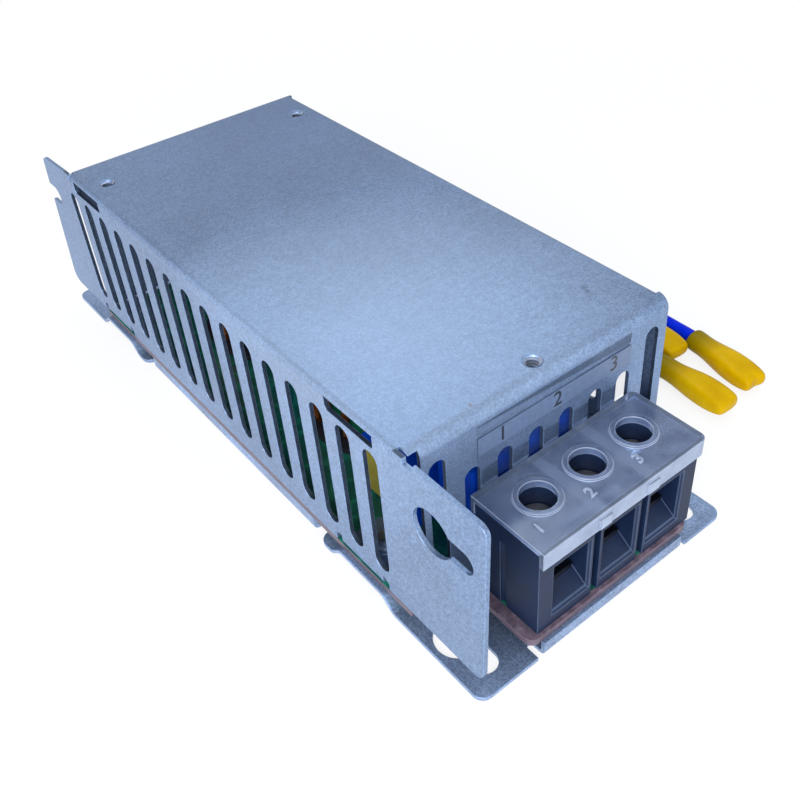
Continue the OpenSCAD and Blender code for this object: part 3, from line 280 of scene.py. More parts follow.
# How deep each boot's tip is notched and how far the ridge stands out, in mm
BOOT_SHAPES = {"blue": (1.2, 0.15), "earth": (0.0, 0.1), "brown": (0.0, 0.25)}
boots = {}
for lead_colour, (notch, ridge) in BOOT_SHAPES.items():
    route = ROUTES[lead_colour]
    boot = vinyl_boot(f"{lead_colour}_boot", notch, ridge)
    share = boot.data.attributes.new("along", "FLOAT", "POINT")
    for vertex, value in zip(boot.data.vertices, share.data):
        value.value = min(1, max(0, -vertex.co.y / BOOT_L))
    mouth, inner = Vector(route[-2]) * MM, Vector(route[-1]) * MM
    run = inner - mouth
    boot.rotation_euler = (0, 0, math.atan2(run.y, run.x) + math.radians(90))
    boot.location = mouth
    only(boot)
    bpy.ops.object.transform_apply(location=True, rotation=True, scale=True)
    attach(boot, "root")
    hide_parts(f"{lead_colour}_cap")
    boots[lead_colour] = boot
print("boots:", sorted(boots))

# %% [markdown]
# ## Helpers for finishes
# Every finish here is made of Blender's own noise, so it has no seams and needs no
# pictures. It reads Object coordinates: every piece stands untransformed at the
# origin, so a noise scale of 1000 gives grains of about a millimetre.

# %% Finish helpers
def colour(red, green, blue):
    """A colour as a screen shows it, 0 to 255, made linear for a shader."""
    linear = [(c / 255 / 12.92) if c < 11 else ((c / 255 + 0.055) / 1.055) ** 2.4 for c in (red, green, blue)]
    return (*linear, 1)


def scaled(base, factor):
    """The same colour, lighter or darker."""
    return (*(min(1, c * factor) for c in base[:3]), 1)


def new_finish(name, **sockets):
    """A material, its node tree and its main shader, with constant sockets set."""
    material = bpy.data.materials.new(name)
    material.use_nodes = True
    tree = material.node_tree
    shader = tree.nodes["Principled BSDF"]
    for socket, value in sockets.items():
        shader.inputs[socket.replace("_", " ")].default_value = value
    return material, tree, shader


def place(tree):
    """The Object coordinates of the surface."""
    return tree.nodes.new("ShaderNodeTexCoord").outputs["Object"]


def stretched(tree, vector, scale):
    """Coordinates drawn out along an axis, for streaks and drawing lines."""
    mapping = tree.nodes.new("ShaderNodeMapping")
    mapping.inputs["Scale"].default_value = scale
    tree.links.new(vector, mapping.inputs["Vector"])
    return mapping.outputs[0]


def noise(tree, vector, scale, detail=2, rough=0.5):
    """A cloud of values round 0.5."""
    node = tree.nodes.new("ShaderNodeTexNoise")
    node.inputs["Scale"].default_value = scale
    node.inputs["Detail"].default_value = detail
    node.inputs["Roughness"].default_value = rough
    tree.links.new(vector, node.inputs["Vector"])
    return node.outputs["Fac"]


def cells(tree, vector, scale, feature="F1", output="Distance"):
    """A Voronoi pattern, for the crystals of zinc and for chips of lacquer."""
    node = tree.nodes.new("ShaderNodeTexVoronoi")
    node.feature = feature
    node.inputs["Scale"].default_value = scale
    tree.links.new(vector, node.inputs["Vector"])
    return node.outputs[output]


def ramp(tree, value, stops, interpolation="LINEAR"):
    """Colours laid along a value, each stop a pair of place and colour."""
    node = tree.nodes.new("ShaderNodeValToRGB")
    band = node.color_ramp
    band.interpolation = interpolation
    while len(band.elements) < len(stops):
        band.elements.new(0.5)
    for element, (at, shade) in zip(band.elements, stops):
        element.position = at
        element.color = shade if len(shade) == 4 else (*shade, 1)
    tree.links.new(value, node.inputs["Fac"])
    return node.outputs["Color"]


def grey_ramp(tree, value, low, high, at=(0.3, 0.7)):
    """A value spread between two greys."""
    return ramp(tree, value, [(at[0], (low, low, low)), (at[1], (high, high, high))])


def blended(tree, one, two, amount, mode="MIX"):
    """Two colours mixed. Each may be a socket or a plain colour, the amount a socket or a number."""
    node = tree.nodes.new("ShaderNodeMix")
    node.data_type = "RGBA"
    node.blend_type = mode
    for value, socket in ((amount, node.inputs[0]), (one, node.inputs[6]), (two, node.inputs[7])):
        if hasattr(value, "is_output"):
            tree.links.new(value, socket)
        else:
            socket.default_value = value
    return node.outputs[2]


def sums(tree, operation, one, two):
    """A Math node on sockets or numbers."""
    node = tree.nodes.new("ShaderNodeMath")
    node.operation = operation
    for value, socket in ((one, node.inputs[0]), (two, node.inputs[1])):
        if hasattr(value, "is_output"):
            tree.links.new(value, socket)
        else:
            socket.default_value = value
    return node.outputs[0]


def bumped(tree, shader, height, distance, strength=1.0):
    """Raises the shader's surface by a height pattern, the distance in metres."""
    node = tree.nodes.new("ShaderNodeBump")
    node.inputs["Distance"].default_value = distance
    node.inputs["Strength"].default_value = strength
    tree.links.new(height, node.inputs["Height"])
    tree.links.new(node.outputs[0], shader.inputs["Normal"])


def spot(tree, vector, at, radius, soft=0.1):
    """1 near a point of the piece, falling to 0 at a radius in millimetres."""
    node = tree.nodes.new("ShaderNodeVectorMath")
    node.operation = "DISTANCE"
    node.inputs[1].default_value = Vector(at) * MM
    tree.links.new(vector, node.inputs[0])
    fade = tree.nodes.new("ShaderNodeMapRange")
    fade.inputs["From Min"].default_value = radius * MM
    fade.inputs["From Max"].default_value = radius * soft * MM
    tree.links.new(node.outputs["Value"], fade.inputs["Value"])
    return fade.outputs[0]


def facing(tree, axis="Z"):
    """How far a surface faces along an axis: 1 straight along it, 0 square to it."""
    normal = tree.nodes.new("ShaderNodeNewGeometry").outputs["Normal"]
    split = tree.nodes.new("ShaderNodeSeparateXYZ")
    tree.links.new(normal, split.inputs[0])
    return sums(tree, "ABSOLUTE", split.outputs[axis], 0)


def axis_value(tree, vector, axis):
    """One coordinate of the surface, in metres."""
    split = tree.nodes.new("ShaderNodeSeparateXYZ")
    tree.links.new(vector, split.inputs[0])
    return split.outputs[axis]


print("helpers ready")

# %% [markdown]
# ## Galvanised sheet
# The sheet came from a coil of hot-dip galvanised steel: a fine, even sparkle of
# zinc crystals under half a millimetre wide, cloudy darker patches where hands and
# rollers have been, and a satin gloss. The folded end face was rubbed by the press,
# so it has long streaks. Noise at three scales gives the sparkle, the crystals and
# the clouds, and the same grains move the roughness, so the sparkle also glints.
# Two things here follow the photograph's light and not the metal: faces that look
# up are darker, and the first two marks of the cover are broad, soft patches.

# %% Galvanised sheet
def galvanised(name, tone, cloud=0.16, cloud_scale=26, sparkle=0.30, marks_and_painted_light=()):
    """Zinc coating round a middle tone, with painted shade on faces that lie flat. A mark, or a broad patch
    of painted light and shade, is its place, radius, strength and colour.
    """
    material, tree, shader = new_finish(name, Metallic=0.6)
    at = place(tree)
    grain = noise(tree, at, 2300, 2, 0.6)
    flakes = cells(tree, at, 900, output="Color")
    flake = ramp(tree, axis_value(tree, flakes, "X"), [(0, (0, 0, 0)), (1, (1, 1, 1))])
    clouds = noise(tree, at, cloud_scale, 5, 0.62)
    low, high = scaled(tone, 1 - sparkle), scaled(tone, 1 + sparkle)
    base = ramp(tree, grain, [(0.3, low), (0.5, tone), (0.68, high)])
    base = blended(tree, base, flake, 0.10, "SOFT_LIGHT")
    dull = grey_ramp(tree, clouds, 1 - cloud, 1 + cloud * 0.5, (0.32, 0.66))
    base = blended(tree, base, dull, 1.0, "MULTIPLY")
    streaks = noise(tree, stretched(tree, at, (60, 900, 60)), 1.0, 3, 0.7)
    base = blended(tree, base, grey_ramp(tree, streaks, 0.93, 1.05), 0.6, "MULTIPLY")
    # Painted shade: faces that lie flat, such as the top, are made darker
    shaded = grey_ramp(tree, facing(tree), 1.0, 0.68, (0.6, 0.9))
    base = blended(tree, base, shaded, 1.0, "MULTIPLY")
    # Each entry is a real mark or a broad patch of painted light and shade
    for patch_at, radius, strength, shade in marks_and_painted_light:
        amount = sums(tree, "MULTIPLY", spot(tree, at, patch_at, radius), strength)
        base = blended(tree, base, shade, amount)
    tree.links.new(base, shader.inputs["Base Color"])
    rough = sums(tree, "ADD", sums(tree, "MULTIPLY", grain, 0.16), sums(tree, "MULTIPLY", clouds, 0.16))
    rough = sums(tree, "ADD", rough, 0.27)
    tree.links.new(rough, shader.inputs["Roughness"])
    relief = sums(tree, "ADD", sums(tree, "MULTIPLY", grain, 0.6), sums(tree, "MULTIPLY", clouds, 1.5))
    bumped(tree, shader, relief, 0.00003, 0.5)
    return material


COVER_TONE = colour(121, 145, 181)
PLATE_TONE = colour(139, 162, 199)
# Two broad patches of light and shade, then small dull spots and a faint smudge
COVER_MARKS_AND_PAINTED_LIGHT = [
    # Painted shade over the far right of the cover
    ((34, 66, 48), 88.0, 0.52, colour(66, 88, 126)),
    # Painted highlight over the near left of the cover
    ((-14, -38, 72), 60.0, 0.38, colour(196, 218, 250)),
    ((23.9, -55.6, 48), 1.1, 0.75, colour(80, 90, 112)),
    ((23.5, -57.0, 48), 0.9, 0.8, colour(76, 88, 110)),
    ((23.2, -58.3, 48), 0.7, 0.6, colour(88, 98, 118)),
    ((-16.5, -67, 48), 0.55, 0.8, colour(112, 92, 84)),
    ((27, -24, 48), 12.0, 0.16, colour(92, 108, 138)),
]
cover_zinc = galvanised("cover_zinc", COVER_TONE, marks_and_painted_light=COVER_MARKS_AND_PAINTED_LIGHT)
plate_zinc = galvanised("plate_zinc", PLATE_TONE, cloud=0.26, cloud_scale=70, sparkle=0.32)
# Painted highlight: the bevels wear a lighter zinc
edge_zinc_highlight = galvanised("edge_zinc_highlight", scaled(COVER_TONE, 1.25), sparkle=0.2)
# Bare steel on the sheared slot edges, darkened far below the zinc as painted shade
sheared_and_shaded = galvanised("sheared_edge_painted_shade", scaled(COVER_TONE, 0.3), cloud=0.3, cloud_scale=200)
print("zinc finishes:", cover_zinc.name, plate_zinc.name)

# %% [markdown]
# ## Crisp copies of the sheet and the mouldings
# A CAD node comes as loose flat triangles. For the pieces that are seen close up, a
# copy is welded, its flat faces are joined, and its edges get a bevel of a tenth of
# a millimetre. Real punched and moulded edges have one, and it is what catches the
# light along every slot. Where a piece has a second finish, the bevels wear it: a
# lighter one, which is a painted highlight. The copy takes the node's place and
# stays where it is.

# %% Edge-bevelled copies
def welded_copy(node, name):
    """A copy of a CAD node with its triangles joined into whole faces."""
    piece = bpy.data.objects.new(name, nodes[node].data.copy())
    scene.collection.objects.link(piece)
    only(piece)
    bpy.ops.object.mode_set(mode="EDIT")
    bpy.ops.mesh.select_all(action="SELECT")
    bpy.ops.mesh.remove_doubles(threshold=2e-6)
    bpy.ops.mesh.dissolve_limited(angle_limit=math.radians(0.5))
    bpy.ops.object.mode_set(mode="OBJECT")
    return piece


def crisp_copy(node, name, finishes, edge=0.12, mark_faces=None):
    """A welded copy with bevelled edges, which stands for its node.

    finishes are for the faces, the bevels and, where mark_faces picks some, the cut faces.
    """
    piece = welded_copy(node, name)
    wear(piece, *finishes)
    if mark_faces:
        for face in piece.data.polygons:
            face.material_index = 2 if mark_faces(face) else 0
    applied(
        piece, "BEVEL", width=edge * MM, segments=2, limit_method="ANGLE",
        angle_limit=math.radians(32), use_clamp_overlap=False,
        material=1 if len(finishes) > 1 else -1,
    )
    # A bevel can throw a corner out as a spike: such vertices go back to the node's surface
    for vertex in piece.data.vertices:
        found, at = nodes[node].closest_point_on_mesh(vertex.co)[:2]
        if found and (vertex.co - at).length > edge * MM:
            vertex.co = at
    only(piece)
    bpy.ops.object.shade_smooth_by_angle(angle=math.radians(35))
    applied(piece, "WEIGHTED_NORMAL", keep_sharp=True, mode="FACE_AREA")
    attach(piece, "root")
    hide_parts(node)
    print(name, "has", len(piece.data.polygons), "faces")
    return piece


wall_low, wall_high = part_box("cover")
SHEET = 1.0 * MM
NEAR_FACE, FAR_FACE = -69.55 * MM, 70.45 * MM
SLOT_FOOT, SLOT_HEAD = 10 * MM, 43 * MM


def slot_edge(face):
    """Whether a face is the sheared edge of a slot: it lies within the sheet and faces along it."""
    at, out = face.center, face.normal
    left = abs(at.x - wall_low[0] - SHEET / 2) < SHEET * 0.45
    right = abs(at.x - wall_high[0] + SHEET / 2) < SHEET * 0.45
    near = abs(at.y - NEAR_FACE - SHEET / 2) < SHEET * 0.45
    if (left or right) and NEAR_FACE < at.y < FAR_FACE and abs(out.x) < 0.3 and at.z > SLOT_FOOT:
        return True
    return near and abs(out.y) < 0.3 and SLOT_FOOT < at.z < SLOT_HEAD


crisp_copy(
    "cover", "cover_sheet", (cover_zinc, edge_zinc_highlight, sheared_and_shaded), 0.12, slot_edge)
crisp_copy("base_plate", "base_sheet", (plate_zinc, edge_zinc_highlight))

# %% [markdown]
# ## The circuit board
# A single-sided board: the faces carry a green mask over faint copper tracks, and
# the sawn edge shows the pinkish brown laminate. The finish tells the two apart by
# the way the surface faces, so it needs only one material.

# %% Circuit board
TONGUE_LEFT = -21.6 * MM
BARE_RIM = 1.2 * MM
BARE_SIDE = 2.4 * MM


def board_finish():
    """Green mask with faint tracks on the faces, brown laminate on the sawn edges."""
    material, tree, shader = new_finish("board_laminate", Roughness=0.42)
    at = place(tree)
    weave = noise(tree, at, 1600, 3, 0.6)
    tracks = cells(tree, at, 130, "DISTANCE_TO_EDGE")
    copper = ramp(tree, tracks, [(0.05, (1, 1, 1)), (0.09, (0, 0, 0))])
    mask = ramp(tree, weave, [(0.35, colour(4, 74, 66)), (0.65, colour(10, 96, 84))])
    mask = blended(tree, mask, colour(30, 128, 104), sums(tree, "MULTIPLY", copper, 0.55))
    fibre = noise(tree, stretched(tree, at, (400, 400, 5000)), 1.0, 3, 0.7)
    edge = ramp(
        tree, fibre,
        [(0.3, colour(66, 56, 70)), (0.55, colour(98, 84, 98)), (0.75, colour(128, 116, 130))])
    flat = ramp(tree, facing(tree), [(0.55, (0, 0, 0)), (0.7, (1, 1, 1))])
    # The mask stops short of the sawn rim of the tongue under the terminal
    tongue_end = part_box("circuit_board")[0][1]
    masked = sums(tree, "GREATER_THAN", axis_value(tree, at, "Y"), tongue_end + BARE_RIM)
    beyond = sums(tree, "GREATER_THAN", axis_value(tree, at, "Y"), NEAR_FACE)
    inner = sums(tree, "GREATER_THAN", axis_value(tree, at, "X"), TONGUE_LEFT + BARE_SIDE)
    masked = sums(tree, "MULTIPLY", masked, sums(tree, "MAXIMUM", inner, beyond))
    flat = blended(tree, (0, 0, 0, 1), flat, masked)
    tree.links.new(blended(tree, edge, mask, flat), shader.inputs["Base Color"])
    bumped(tree, shader, weave, 0.00003, 0.4)
    return material


crisp_copy("circuit_board", "board_sheet", (board_finish(),), 0.1)

# %% [markdown]
# ## The screw terminal
# The body is black nylon, moulded slightly rough, and dusty enough to look blue
# grey in the light. Inside sit nickelled clamps and their screws. The cover is a
# clear, slightly smoky snap-on moulding. Its lip and rims are the brightest lines
# of the whole terminal: they wear lighter, less clear copies of its finish, a
# painted highlight for the light that clear plastic gathers at its edges. The
# body's bevelled edges wear a lighter nylon, also a painted highlight.

# %% Terminal finishes
def moulded_black(name, shades):
    """Nylon in three shades, from clean to dusty."""
    material, tree, shader = new_finish(name, Specular_IOR_Level=0.3)
    at = place(tree)
    grain = noise(tree, at, 1500, 3, 0.55)
    dust = noise(tree, at, 90, 5, 0.65)
    base = ramp(tree, dust, list(zip((0.35, 0.6, 0.8), shades)))
    base = blended(tree, base, grey_ramp(tree, grain, 0.85, 1.15), 1.0, "MULTIPLY")
    tree.links.new(base, shader.inputs["Base Color"])
    tree.links.new(sums(tree, "ADD", sums(tree, "MULTIPLY", dust, 0.2), 0.42), shader.inputs["Roughness"])
    bumped(tree, shader, grain, 0.00001, 0.3)
    return material


# The slits between the poles, the depth of the cover's lip and how far its underside is lifted
SLIT_X = (-4.05, 8.95)
LIP_DEPTH = 2.2 * MM
LIFT = 0.06 * MM


def clear_moulding(name, through, low, high):
    """Clear plastic, a little smoky, with lighter stripes over the slits between the poles."""
    material, tree, shader = new_finish(
        name, IOR=1.45, Transmission_Weight=through, Specular_IOR_Level=0.25)
    at = place(tree)
    haze = noise(tree, at, 240, 4, 0.6)
    base = ramp(tree, haze, [(0.3, low), (0.7, high)])
    for slit in SLIT_X:
        away = sums(tree, "ABSOLUTE", sums(tree, "SUBTRACT", axis_value(tree, at, "X"), slit * MM), 0)
        base = blended(tree, base, high, sums(tree, "LESS_THAN", away, 1.3 * MM))
    tree.links.new(base, shader.inputs["Base Color"])
    tree.links.new(sums(tree, "ADD", sums(tree, "MULTIPLY", haze, 0.12), 0.06), shader.inputs["Roughness"])
    bumped(tree, shader, noise(tree, at, 60, 2), 0.00001, 0.1)
    return material


def nickelled(name, tone, rough):
    """Plated small metal: an even tone, fine drawing lines and a few dull patches."""
    material, tree, shader = new_finish(name, Metallic=1.0)
    at = place(tree)
    lines = noise(tree, stretched(tree, at, (300, 300, 4000)), 1.0, 2)
    patches = noise(tree, at, 350, 4, 0.6)
    base = ramp(tree, patches, [(0.3, scaled(tone, 0.7)), (0.7, scaled(tone, 1.1))])
    base = blended(tree, base, grey_ramp(tree, lines, 0.85, 1.1), 1.0, "MULTIPLY")
    tree.links.new(base, shader.inputs["Base Color"])
    tree.links.new(sums(tree, "ADD", sums(tree, "MULTIPLY", patches, 0.2), rough), shader.inputs["Roughness"])
    bumped(tree, shader, lines, 0.00002, 0.4)
    return material


def dress(finish, *names):
    """Lays a finish on CAD nodes whose shape is already right."""
    for name in names:
        for slot in nodes[name].material_slots:
            slot.material = finish


black = moulded_black("moulded_black", (colour(12, 28, 56), colour(20, 37, 68), colour(32, 50, 84)))
# Painted highlight: the body's bevels wear a lighter nylon
black_edge_highlight = moulded_black("black_edge_highlight", (colour(46, 60, 88), colour(60, 76, 104), colour(84, 100, 128)))
clear = clear_moulding("clear_moulding", 0.78, colour(132, 154, 196), colour(176, 196, 232))
# Painted highlight: the clear cover's bevels and lip wear lighter, less clear copies of its finish
clear_edge_highlight = clear_moulding("clear_edge_highlight", 0.55, colour(170, 186, 216), colour(196, 210, 236))
clear_lip_highlight = clear_moulding("clear_lip_highlight", 0.45, colour(164, 182, 214), colour(190, 206, 236))
crisp_copy("terminal_housing", "terminal_body", (black, black_edge_highlight), 0.15)
lip_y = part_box("terminal_cover")[0][1]
clear_cover = crisp_copy(
    "terminal_cover", "clear_cover", (clear, clear_edge_highlight, clear_lip_highlight), 0.15,
    lambda face: face.center.y < lip_y + LIP_DEPTH and abs(face.normal.z) < 0.7)
# The cover rests on the body: its underside is lifted a hair, so that the two faces don't flicker
body_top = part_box("terminal_housing")[1][2]
lifted = 0
for vertex in clear_cover.data.vertices:
    if abs(vertex.co.z - body_top) < 0.02 * MM:
        vertex.co.z += LIFT
        lifted += 1
print("vertices lifted off the body:", lifted)
dress(nickelled("clamp_nickel", colour(56, 62, 76), 0.35), "terminal_frames")
dress(
    nickelled("screw_zinc", colour(190, 192, 196), 0.2),
    "terminal_screws", "pressure_plates", "board_screws", "blue_sleeve", "earth_sleeve", "brown_sleeve")
print("terminal dressed")

# %% [markdown]
# ## The label
# A clear film covers the near face, and a strip under it names the poles. The strip
# is white plastic in shade, and is given the grey that the photograph shows. A
# plain number stands for each pole here. The film is thin enough to be shown by a
# partly see-through surface, which has no bending of light to work out.

# %% Label finishes
def film_finish():
    """Thin film, nearly see-through, with a slight ripple."""
    material, tree, shader = new_finish("label_film", Roughness=0.2, Alpha=0.07, Specular_IOR_Level=0.4)
    at = place(tree)
    ripple = noise(tree, at, 130, 3)
    tree.links.new(ramp(tree, ripple, [(0.3, colour(70, 90, 124)), (0.7, colour(96, 116, 150))]),
                   shader.inputs["Base Color"])
    bumped(tree, shader, ripple, 0.0001, 0.3)
    return material


def paper_finish(name, low, high):
    """Printed plastic tape: almost even, with a faint tooth."""
    material, tree, shader = new_finish(name, Roughness=0.38)
    at = place(tree)
    tooth = noise(tree, at, 900, 3)
    tree.links.new(ramp(tree, tooth, [(0.3, low), (0.7, high)]), shader.inputs["Base Color"])
    bumped(tree, shader, tooth, 0.00002, 0.3)
    return material


dress(film_finish(), "label_film")
# Painted shade: the white strip is given a grey
dress(paper_finish("strip_in_painted_shade", colour(90, 108, 140), colour(100, 119, 151)), "label_strip")

# %% Pole numbers
def number(name, figure, size, thick, at, turn, finish, bevel=0.0):
    """A raised or printed figure: text made into a mesh, stood up and put in place."""
    bpy.ops.object.select_all(action="DESELECT")
    bpy.ops.object.text_add(location=(0, 0, 0))
    piece = bpy.context.object
    piece.name = name
    piece.data.body = figure
    piece.data.size = size * MM
    piece.data.extrude = thick * MM
    piece.data.bevel_depth = bevel * MM
    piece.data.align_x = "CENTER"
    piece.data.align_y = "CENTER"
    bpy.ops.object.convert(target="MESH")
    piece = bpy.context.object
    piece.rotation_euler = turn
    piece.location = Vector(at) * MM
    bpy.ops.object.transform_apply(location=True, rotation=True, scale=True)
    wear(piece, finish)
    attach(piece, "root")
    return piece


ink = paper_finish("legend_ink", colour(30, 34, 44), colour(44, 48, 60))
strip_low, strip_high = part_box("label_strip")
POLE_X = (-10.55, 2.45, 15.45)
LEGEND_X = (-11.4, 2.6, 18.0)
STRIP_MIDDLE_Z = (strip_low[2] + strip_high[2]) / 2 / MM
UPRIGHT = (math.radians(90), 0, 0)
for index, x in enumerate(LEGEND_X, 1):
    number(f"strip_number_{index}", str(index), 5.0, 0.02, (x, strip_low[1] / MM - 0.02, STRIP_MIDDLE_Z),
           UPRIGHT, ink)
print("strip numbers at x", LEGEND_X)

# %% [markdown]
# ## Moulded figures and screw threads
# The clear cover carries a raised figure in front of each hole. They are clear too,
# and wear the cover's lighter edge finish, a painted highlight that stands for their
# glints. The tapped holes show two or three turns of thread: a small triangle is
# wound up as a helix by the Screw modifier, as a tap would cut it, and merges into
# the wall of the hole.

# %% Moulded figures
MOULDED_Z = 29.4
# The figures wear the clear cover's edge finish, a painted highlight
for index, x in enumerate(POLE_X, 1):
    number(f"moulded_number_{index}", str(index), 3.4, 0.16, (x - 5.2, -84.0, MOULDED_Z + 0.02),
           (0, 0, 0), clear_edge_highlight, bevel=0.12)

# %% Threads of the tapped holes
THREAD_PITCH = 0.7
THREAD_R = 1.66
THREAD_TURNS = 4


def thread_at_origin():
    """A helical ridge for the wall of a hole, made from one small triangle, its foot at Z = 0."""
    bpy.ops.object.select_all(action="DESELECT")
    bpy.ops.mesh.primitive_circle_add(
        vertices=3, radius=0.34 * MM, fill_type="NOTHING", location=(0, 0, 0),
        rotation=(math.radians(90), 0, 0))
    piece = bpy.context.object
    piece.name = "thread_left"
    bpy.ops.object.transform_apply(location=False, rotation=True, scale=False)
    bpy.ops.object.mode_set(mode="EDIT")
    bpy.ops.mesh.select_all(action="SELECT")
    bpy.ops.transform.rotate(value=math.radians(90), orient_axis="Y", center_override=(0, 0, 0))
    bpy.ops.transform.translate(value=(THREAD_R * MM, 0, 0))
    bpy.ops.object.mode_set(mode="OBJECT")
    applied(piece, "SCREW", axis="Z", angle=math.tau, screw_offset=THREAD_PITCH * MM,
            iterations=THREAD_TURNS, steps=28, render_steps=28, use_merge_vertices=True,
            merge_threshold=1e-6)
    only(piece)
    bpy.ops.object.mode_set(mode="EDIT")
    bpy.ops.mesh.select_all(action="DESELECT")
    bpy.ops.mesh.select_non_manifold()
    bpy.ops.mesh.edge_face_add()
    bpy.ops.mesh.select_all(action="SELECT")
    bpy.ops.mesh.normals_make_consistent(inside=False)
    bpy.ops.object.mode_set(mode="OBJECT")
    bpy.ops.object.shade_smooth_by_angle(angle=math.radians(35))
    wear(piece, nickelled("thread_metal", colour(150, 160, 180), 0.25))
    return piece


pattern = thread_at_origin()
threads = {"thread_left": pattern}
for name in ("thread_right", "thread_near"):
    threads[name] = bpy.data.objects.new(name, pattern.data.copy())
    scene.collection.objects.link(threads[name])
THREADED_HOLES = {"thread_left": (-28, 56.45), "thread_right": (28, 56.45), "thread_near": (0, -65.55)}
THREAD_FOOT = 47.85 - THREAD_TURNS * THREAD_PITCH
for name, (x, y) in THREADED_HOLES.items():
    threads[name].location = Vector((x, y, THREAD_FOOT)) * MM
    only(threads[name])
    bpy.ops.object.transform_apply(location=True, rotation=True, scale=True)
    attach(threads[name], "root")
print("threads cut")

# %% [markdown]
# ## What shows through the slots
# Behind the perforations sit blue and yellow film capacitors, copper windings on
# green coated rings, and small lacquered discs. They are dim, so each gets a finish
# with one clear colour and a broad, soft variation that reads at a glance.

# %% Finishes of the parts inside
def lacquer(name, low, high, rough=0.32, scale=120, tooth=900, wrap=None):
    """Dipped or moulded resin: a cloudy colour, a smooth skin with slight orange peel.

    wrap gives the colours of the faces that do not look left or right.
    """
    material, tree, shader = new_finish(name, Specular_IOR_Level=0.18)
    at = place(tree)
    clouds = noise(tree, at, scale, 4, 0.55)
    base = ramp(tree, clouds, [(0.3, low), (0.7, high)])
    if wrap:
        case = ramp(tree, clouds, [(0.3, wrap[0]), (0.7, wrap[1])])
        base = blended(tree, case, base, sums(tree, "GREATER_THAN", facing(tree, "X"), 0.8))
    tree.links.new(base, shader.inputs["Base Color"])
    gloss = sums(tree, "ADD", sums(tree, "MULTIPLY", clouds, 0.15), rough - 0.07)
    tree.links.new(gloss, shader.inputs["Roughness"])
    bumped(tree, shader, noise(tree, at, tooth, 2), 0.00004, 0.4)
    return material


def enamelled_copper():
    """Drawn copper wire under a thin clear enamel."""
    material, tree, shader = new_finish(
        "enamelled_copper", Metallic=0.9, Coat_Weight=0.4, Coat_Roughness=0.12)
    at = place(tree)
    drawn = noise(tree, at, 260, 3, 0.6)
    tree.links.new(ramp(tree, drawn, [(0.3, colour(176, 84, 34)), (0.7, colour(232, 138, 66))]),
                   shader.inputs["Base Color"])
    tree.links.new(grey_ramp(tree, drawn, 0.22, 0.36), shader.inputs["Roughness"])
    bumped(tree, shader, noise(tree, at, 1500, 2), 0.00002, 0.3)
    return material


def banded_resistor():
    """A tan body with plain colour bands across it."""
    material, tree, shader = new_finish("resistor_body", Roughness=0.35)
    at = place(tree)
    low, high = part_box("discharge_resistor")
    along = tree.nodes.new("ShaderNodeMapRange")
    along.inputs["From Min"].default_value = low[0]
    along.inputs["From Max"].default_value = high[0]
    tree.links.new(axis_value(tree, at, "X"), along.inputs["Value"])
    tan, steel = colour(196, 168, 128), colour(170, 172, 176)
    bands = [(0, steel), (0.24, tan), (0.34, colour(110, 50, 30)), (0.39, tan), (0.45, colour(20, 20, 22)),
             (0.5, tan), (0.56, colour(215, 120, 30)), (0.61, tan), (0.68, colour(180, 150, 60)),
             (0.72, tan), (0.76, steel)]
    paint = ramp(tree, along.outputs[0], bands, "CONSTANT")
    paint = blended(tree, paint, grey_ramp(tree, noise(tree, at, 900, 3), 0.85, 1.1), 1.0, "MULTIPLY")
    tree.links.new(paint, shader.inputs["Base Color"])
    return material


CASE_BLUE = (colour(0, 58, 182), colour(4, 80, 214))
dress(lacquer("capacitor_blue", *CASE_BLUE), "input_capacitor", "middle_capacitor")
# Olive shows through the left wall and blue through the near face: one case that has both
dress(
    lacquer("capacitor_yellow", colour(150, 140, 52), colour(178, 168, 78), wrap=CASE_BLUE),
    "side_capacitor")
dress(lacquer("disc_lacquer", colour(20, 70, 130), colour(44, 104, 170), 0.25), "disc_capacitors")
dress(lacquer("core_coating", colour(6, 70, 50), colour(16, 96, 70), 0.42, 200, 1300),
      "input_choke_core", "output_choke_core")
dress(lacquer("carrier_plastic", colour(28, 30, 36), colour(42, 44, 52), 0.5, 150, 1500),
      "input_choke_carrier", "output_choke_carrier")
dress(lacquer("bushing_nylon", colour(20, 21, 24), colour(34, 36, 40), 0.45, 150, 1500), "lead_bushing")
dress(enamelled_copper(), "input_choke_windings", "output_choke_windings")
dress(banded_resistor(), "discharge_resistor")
print("inside dressed")

# %% [markdown]
# ## The leads' insulation
# Soft PVC has a low sheen and a colour that goes all the way through. The earth
# lead is green with a yellow stripe along it, which follows the curve by its UV
# map: V runs round the lead and U along it.

# %% Insulation
def insulation(name, low, high):
    material, tree, shader = new_finish(name, Roughness=0.36, Specular_IOR_Level=0.04)
    at = place(tree)
    clouds = noise(tree, at, 140, 3)
    tree.links.new(ramp(tree, clouds, [(0.3, low), (0.7, high)]), shader.inputs["Base Color"])
    bumped(tree, shader, noise(tree, at, 700, 2), 0.00005, 0.3)
    return material


def striped_insulation(name, ground, stripe):
    """Two colours side by side along the lead."""
    material, tree, shader = new_finish(name, Roughness=0.36, Specular_IOR_Level=0.04)
    at = place(tree)
    round_lead = axis_value(tree, tree.nodes.new("ShaderNodeTexCoord").outputs["UV"], "Y")
    side = ramp(tree, round_lead, [(0.0, ground), (0.32, stripe), (0.68, ground)], "CONSTANT")
    side = blended(tree, side, grey_ramp(tree, noise(tree, at, 140, 3), 0.9, 1.05), 1.0, "MULTIPLY")
    tree.links.new(side, shader.inputs["Base Color"])
    bumped(tree, shader, noise(tree, at, 700, 2), 0.00005, 0.3)
    return material


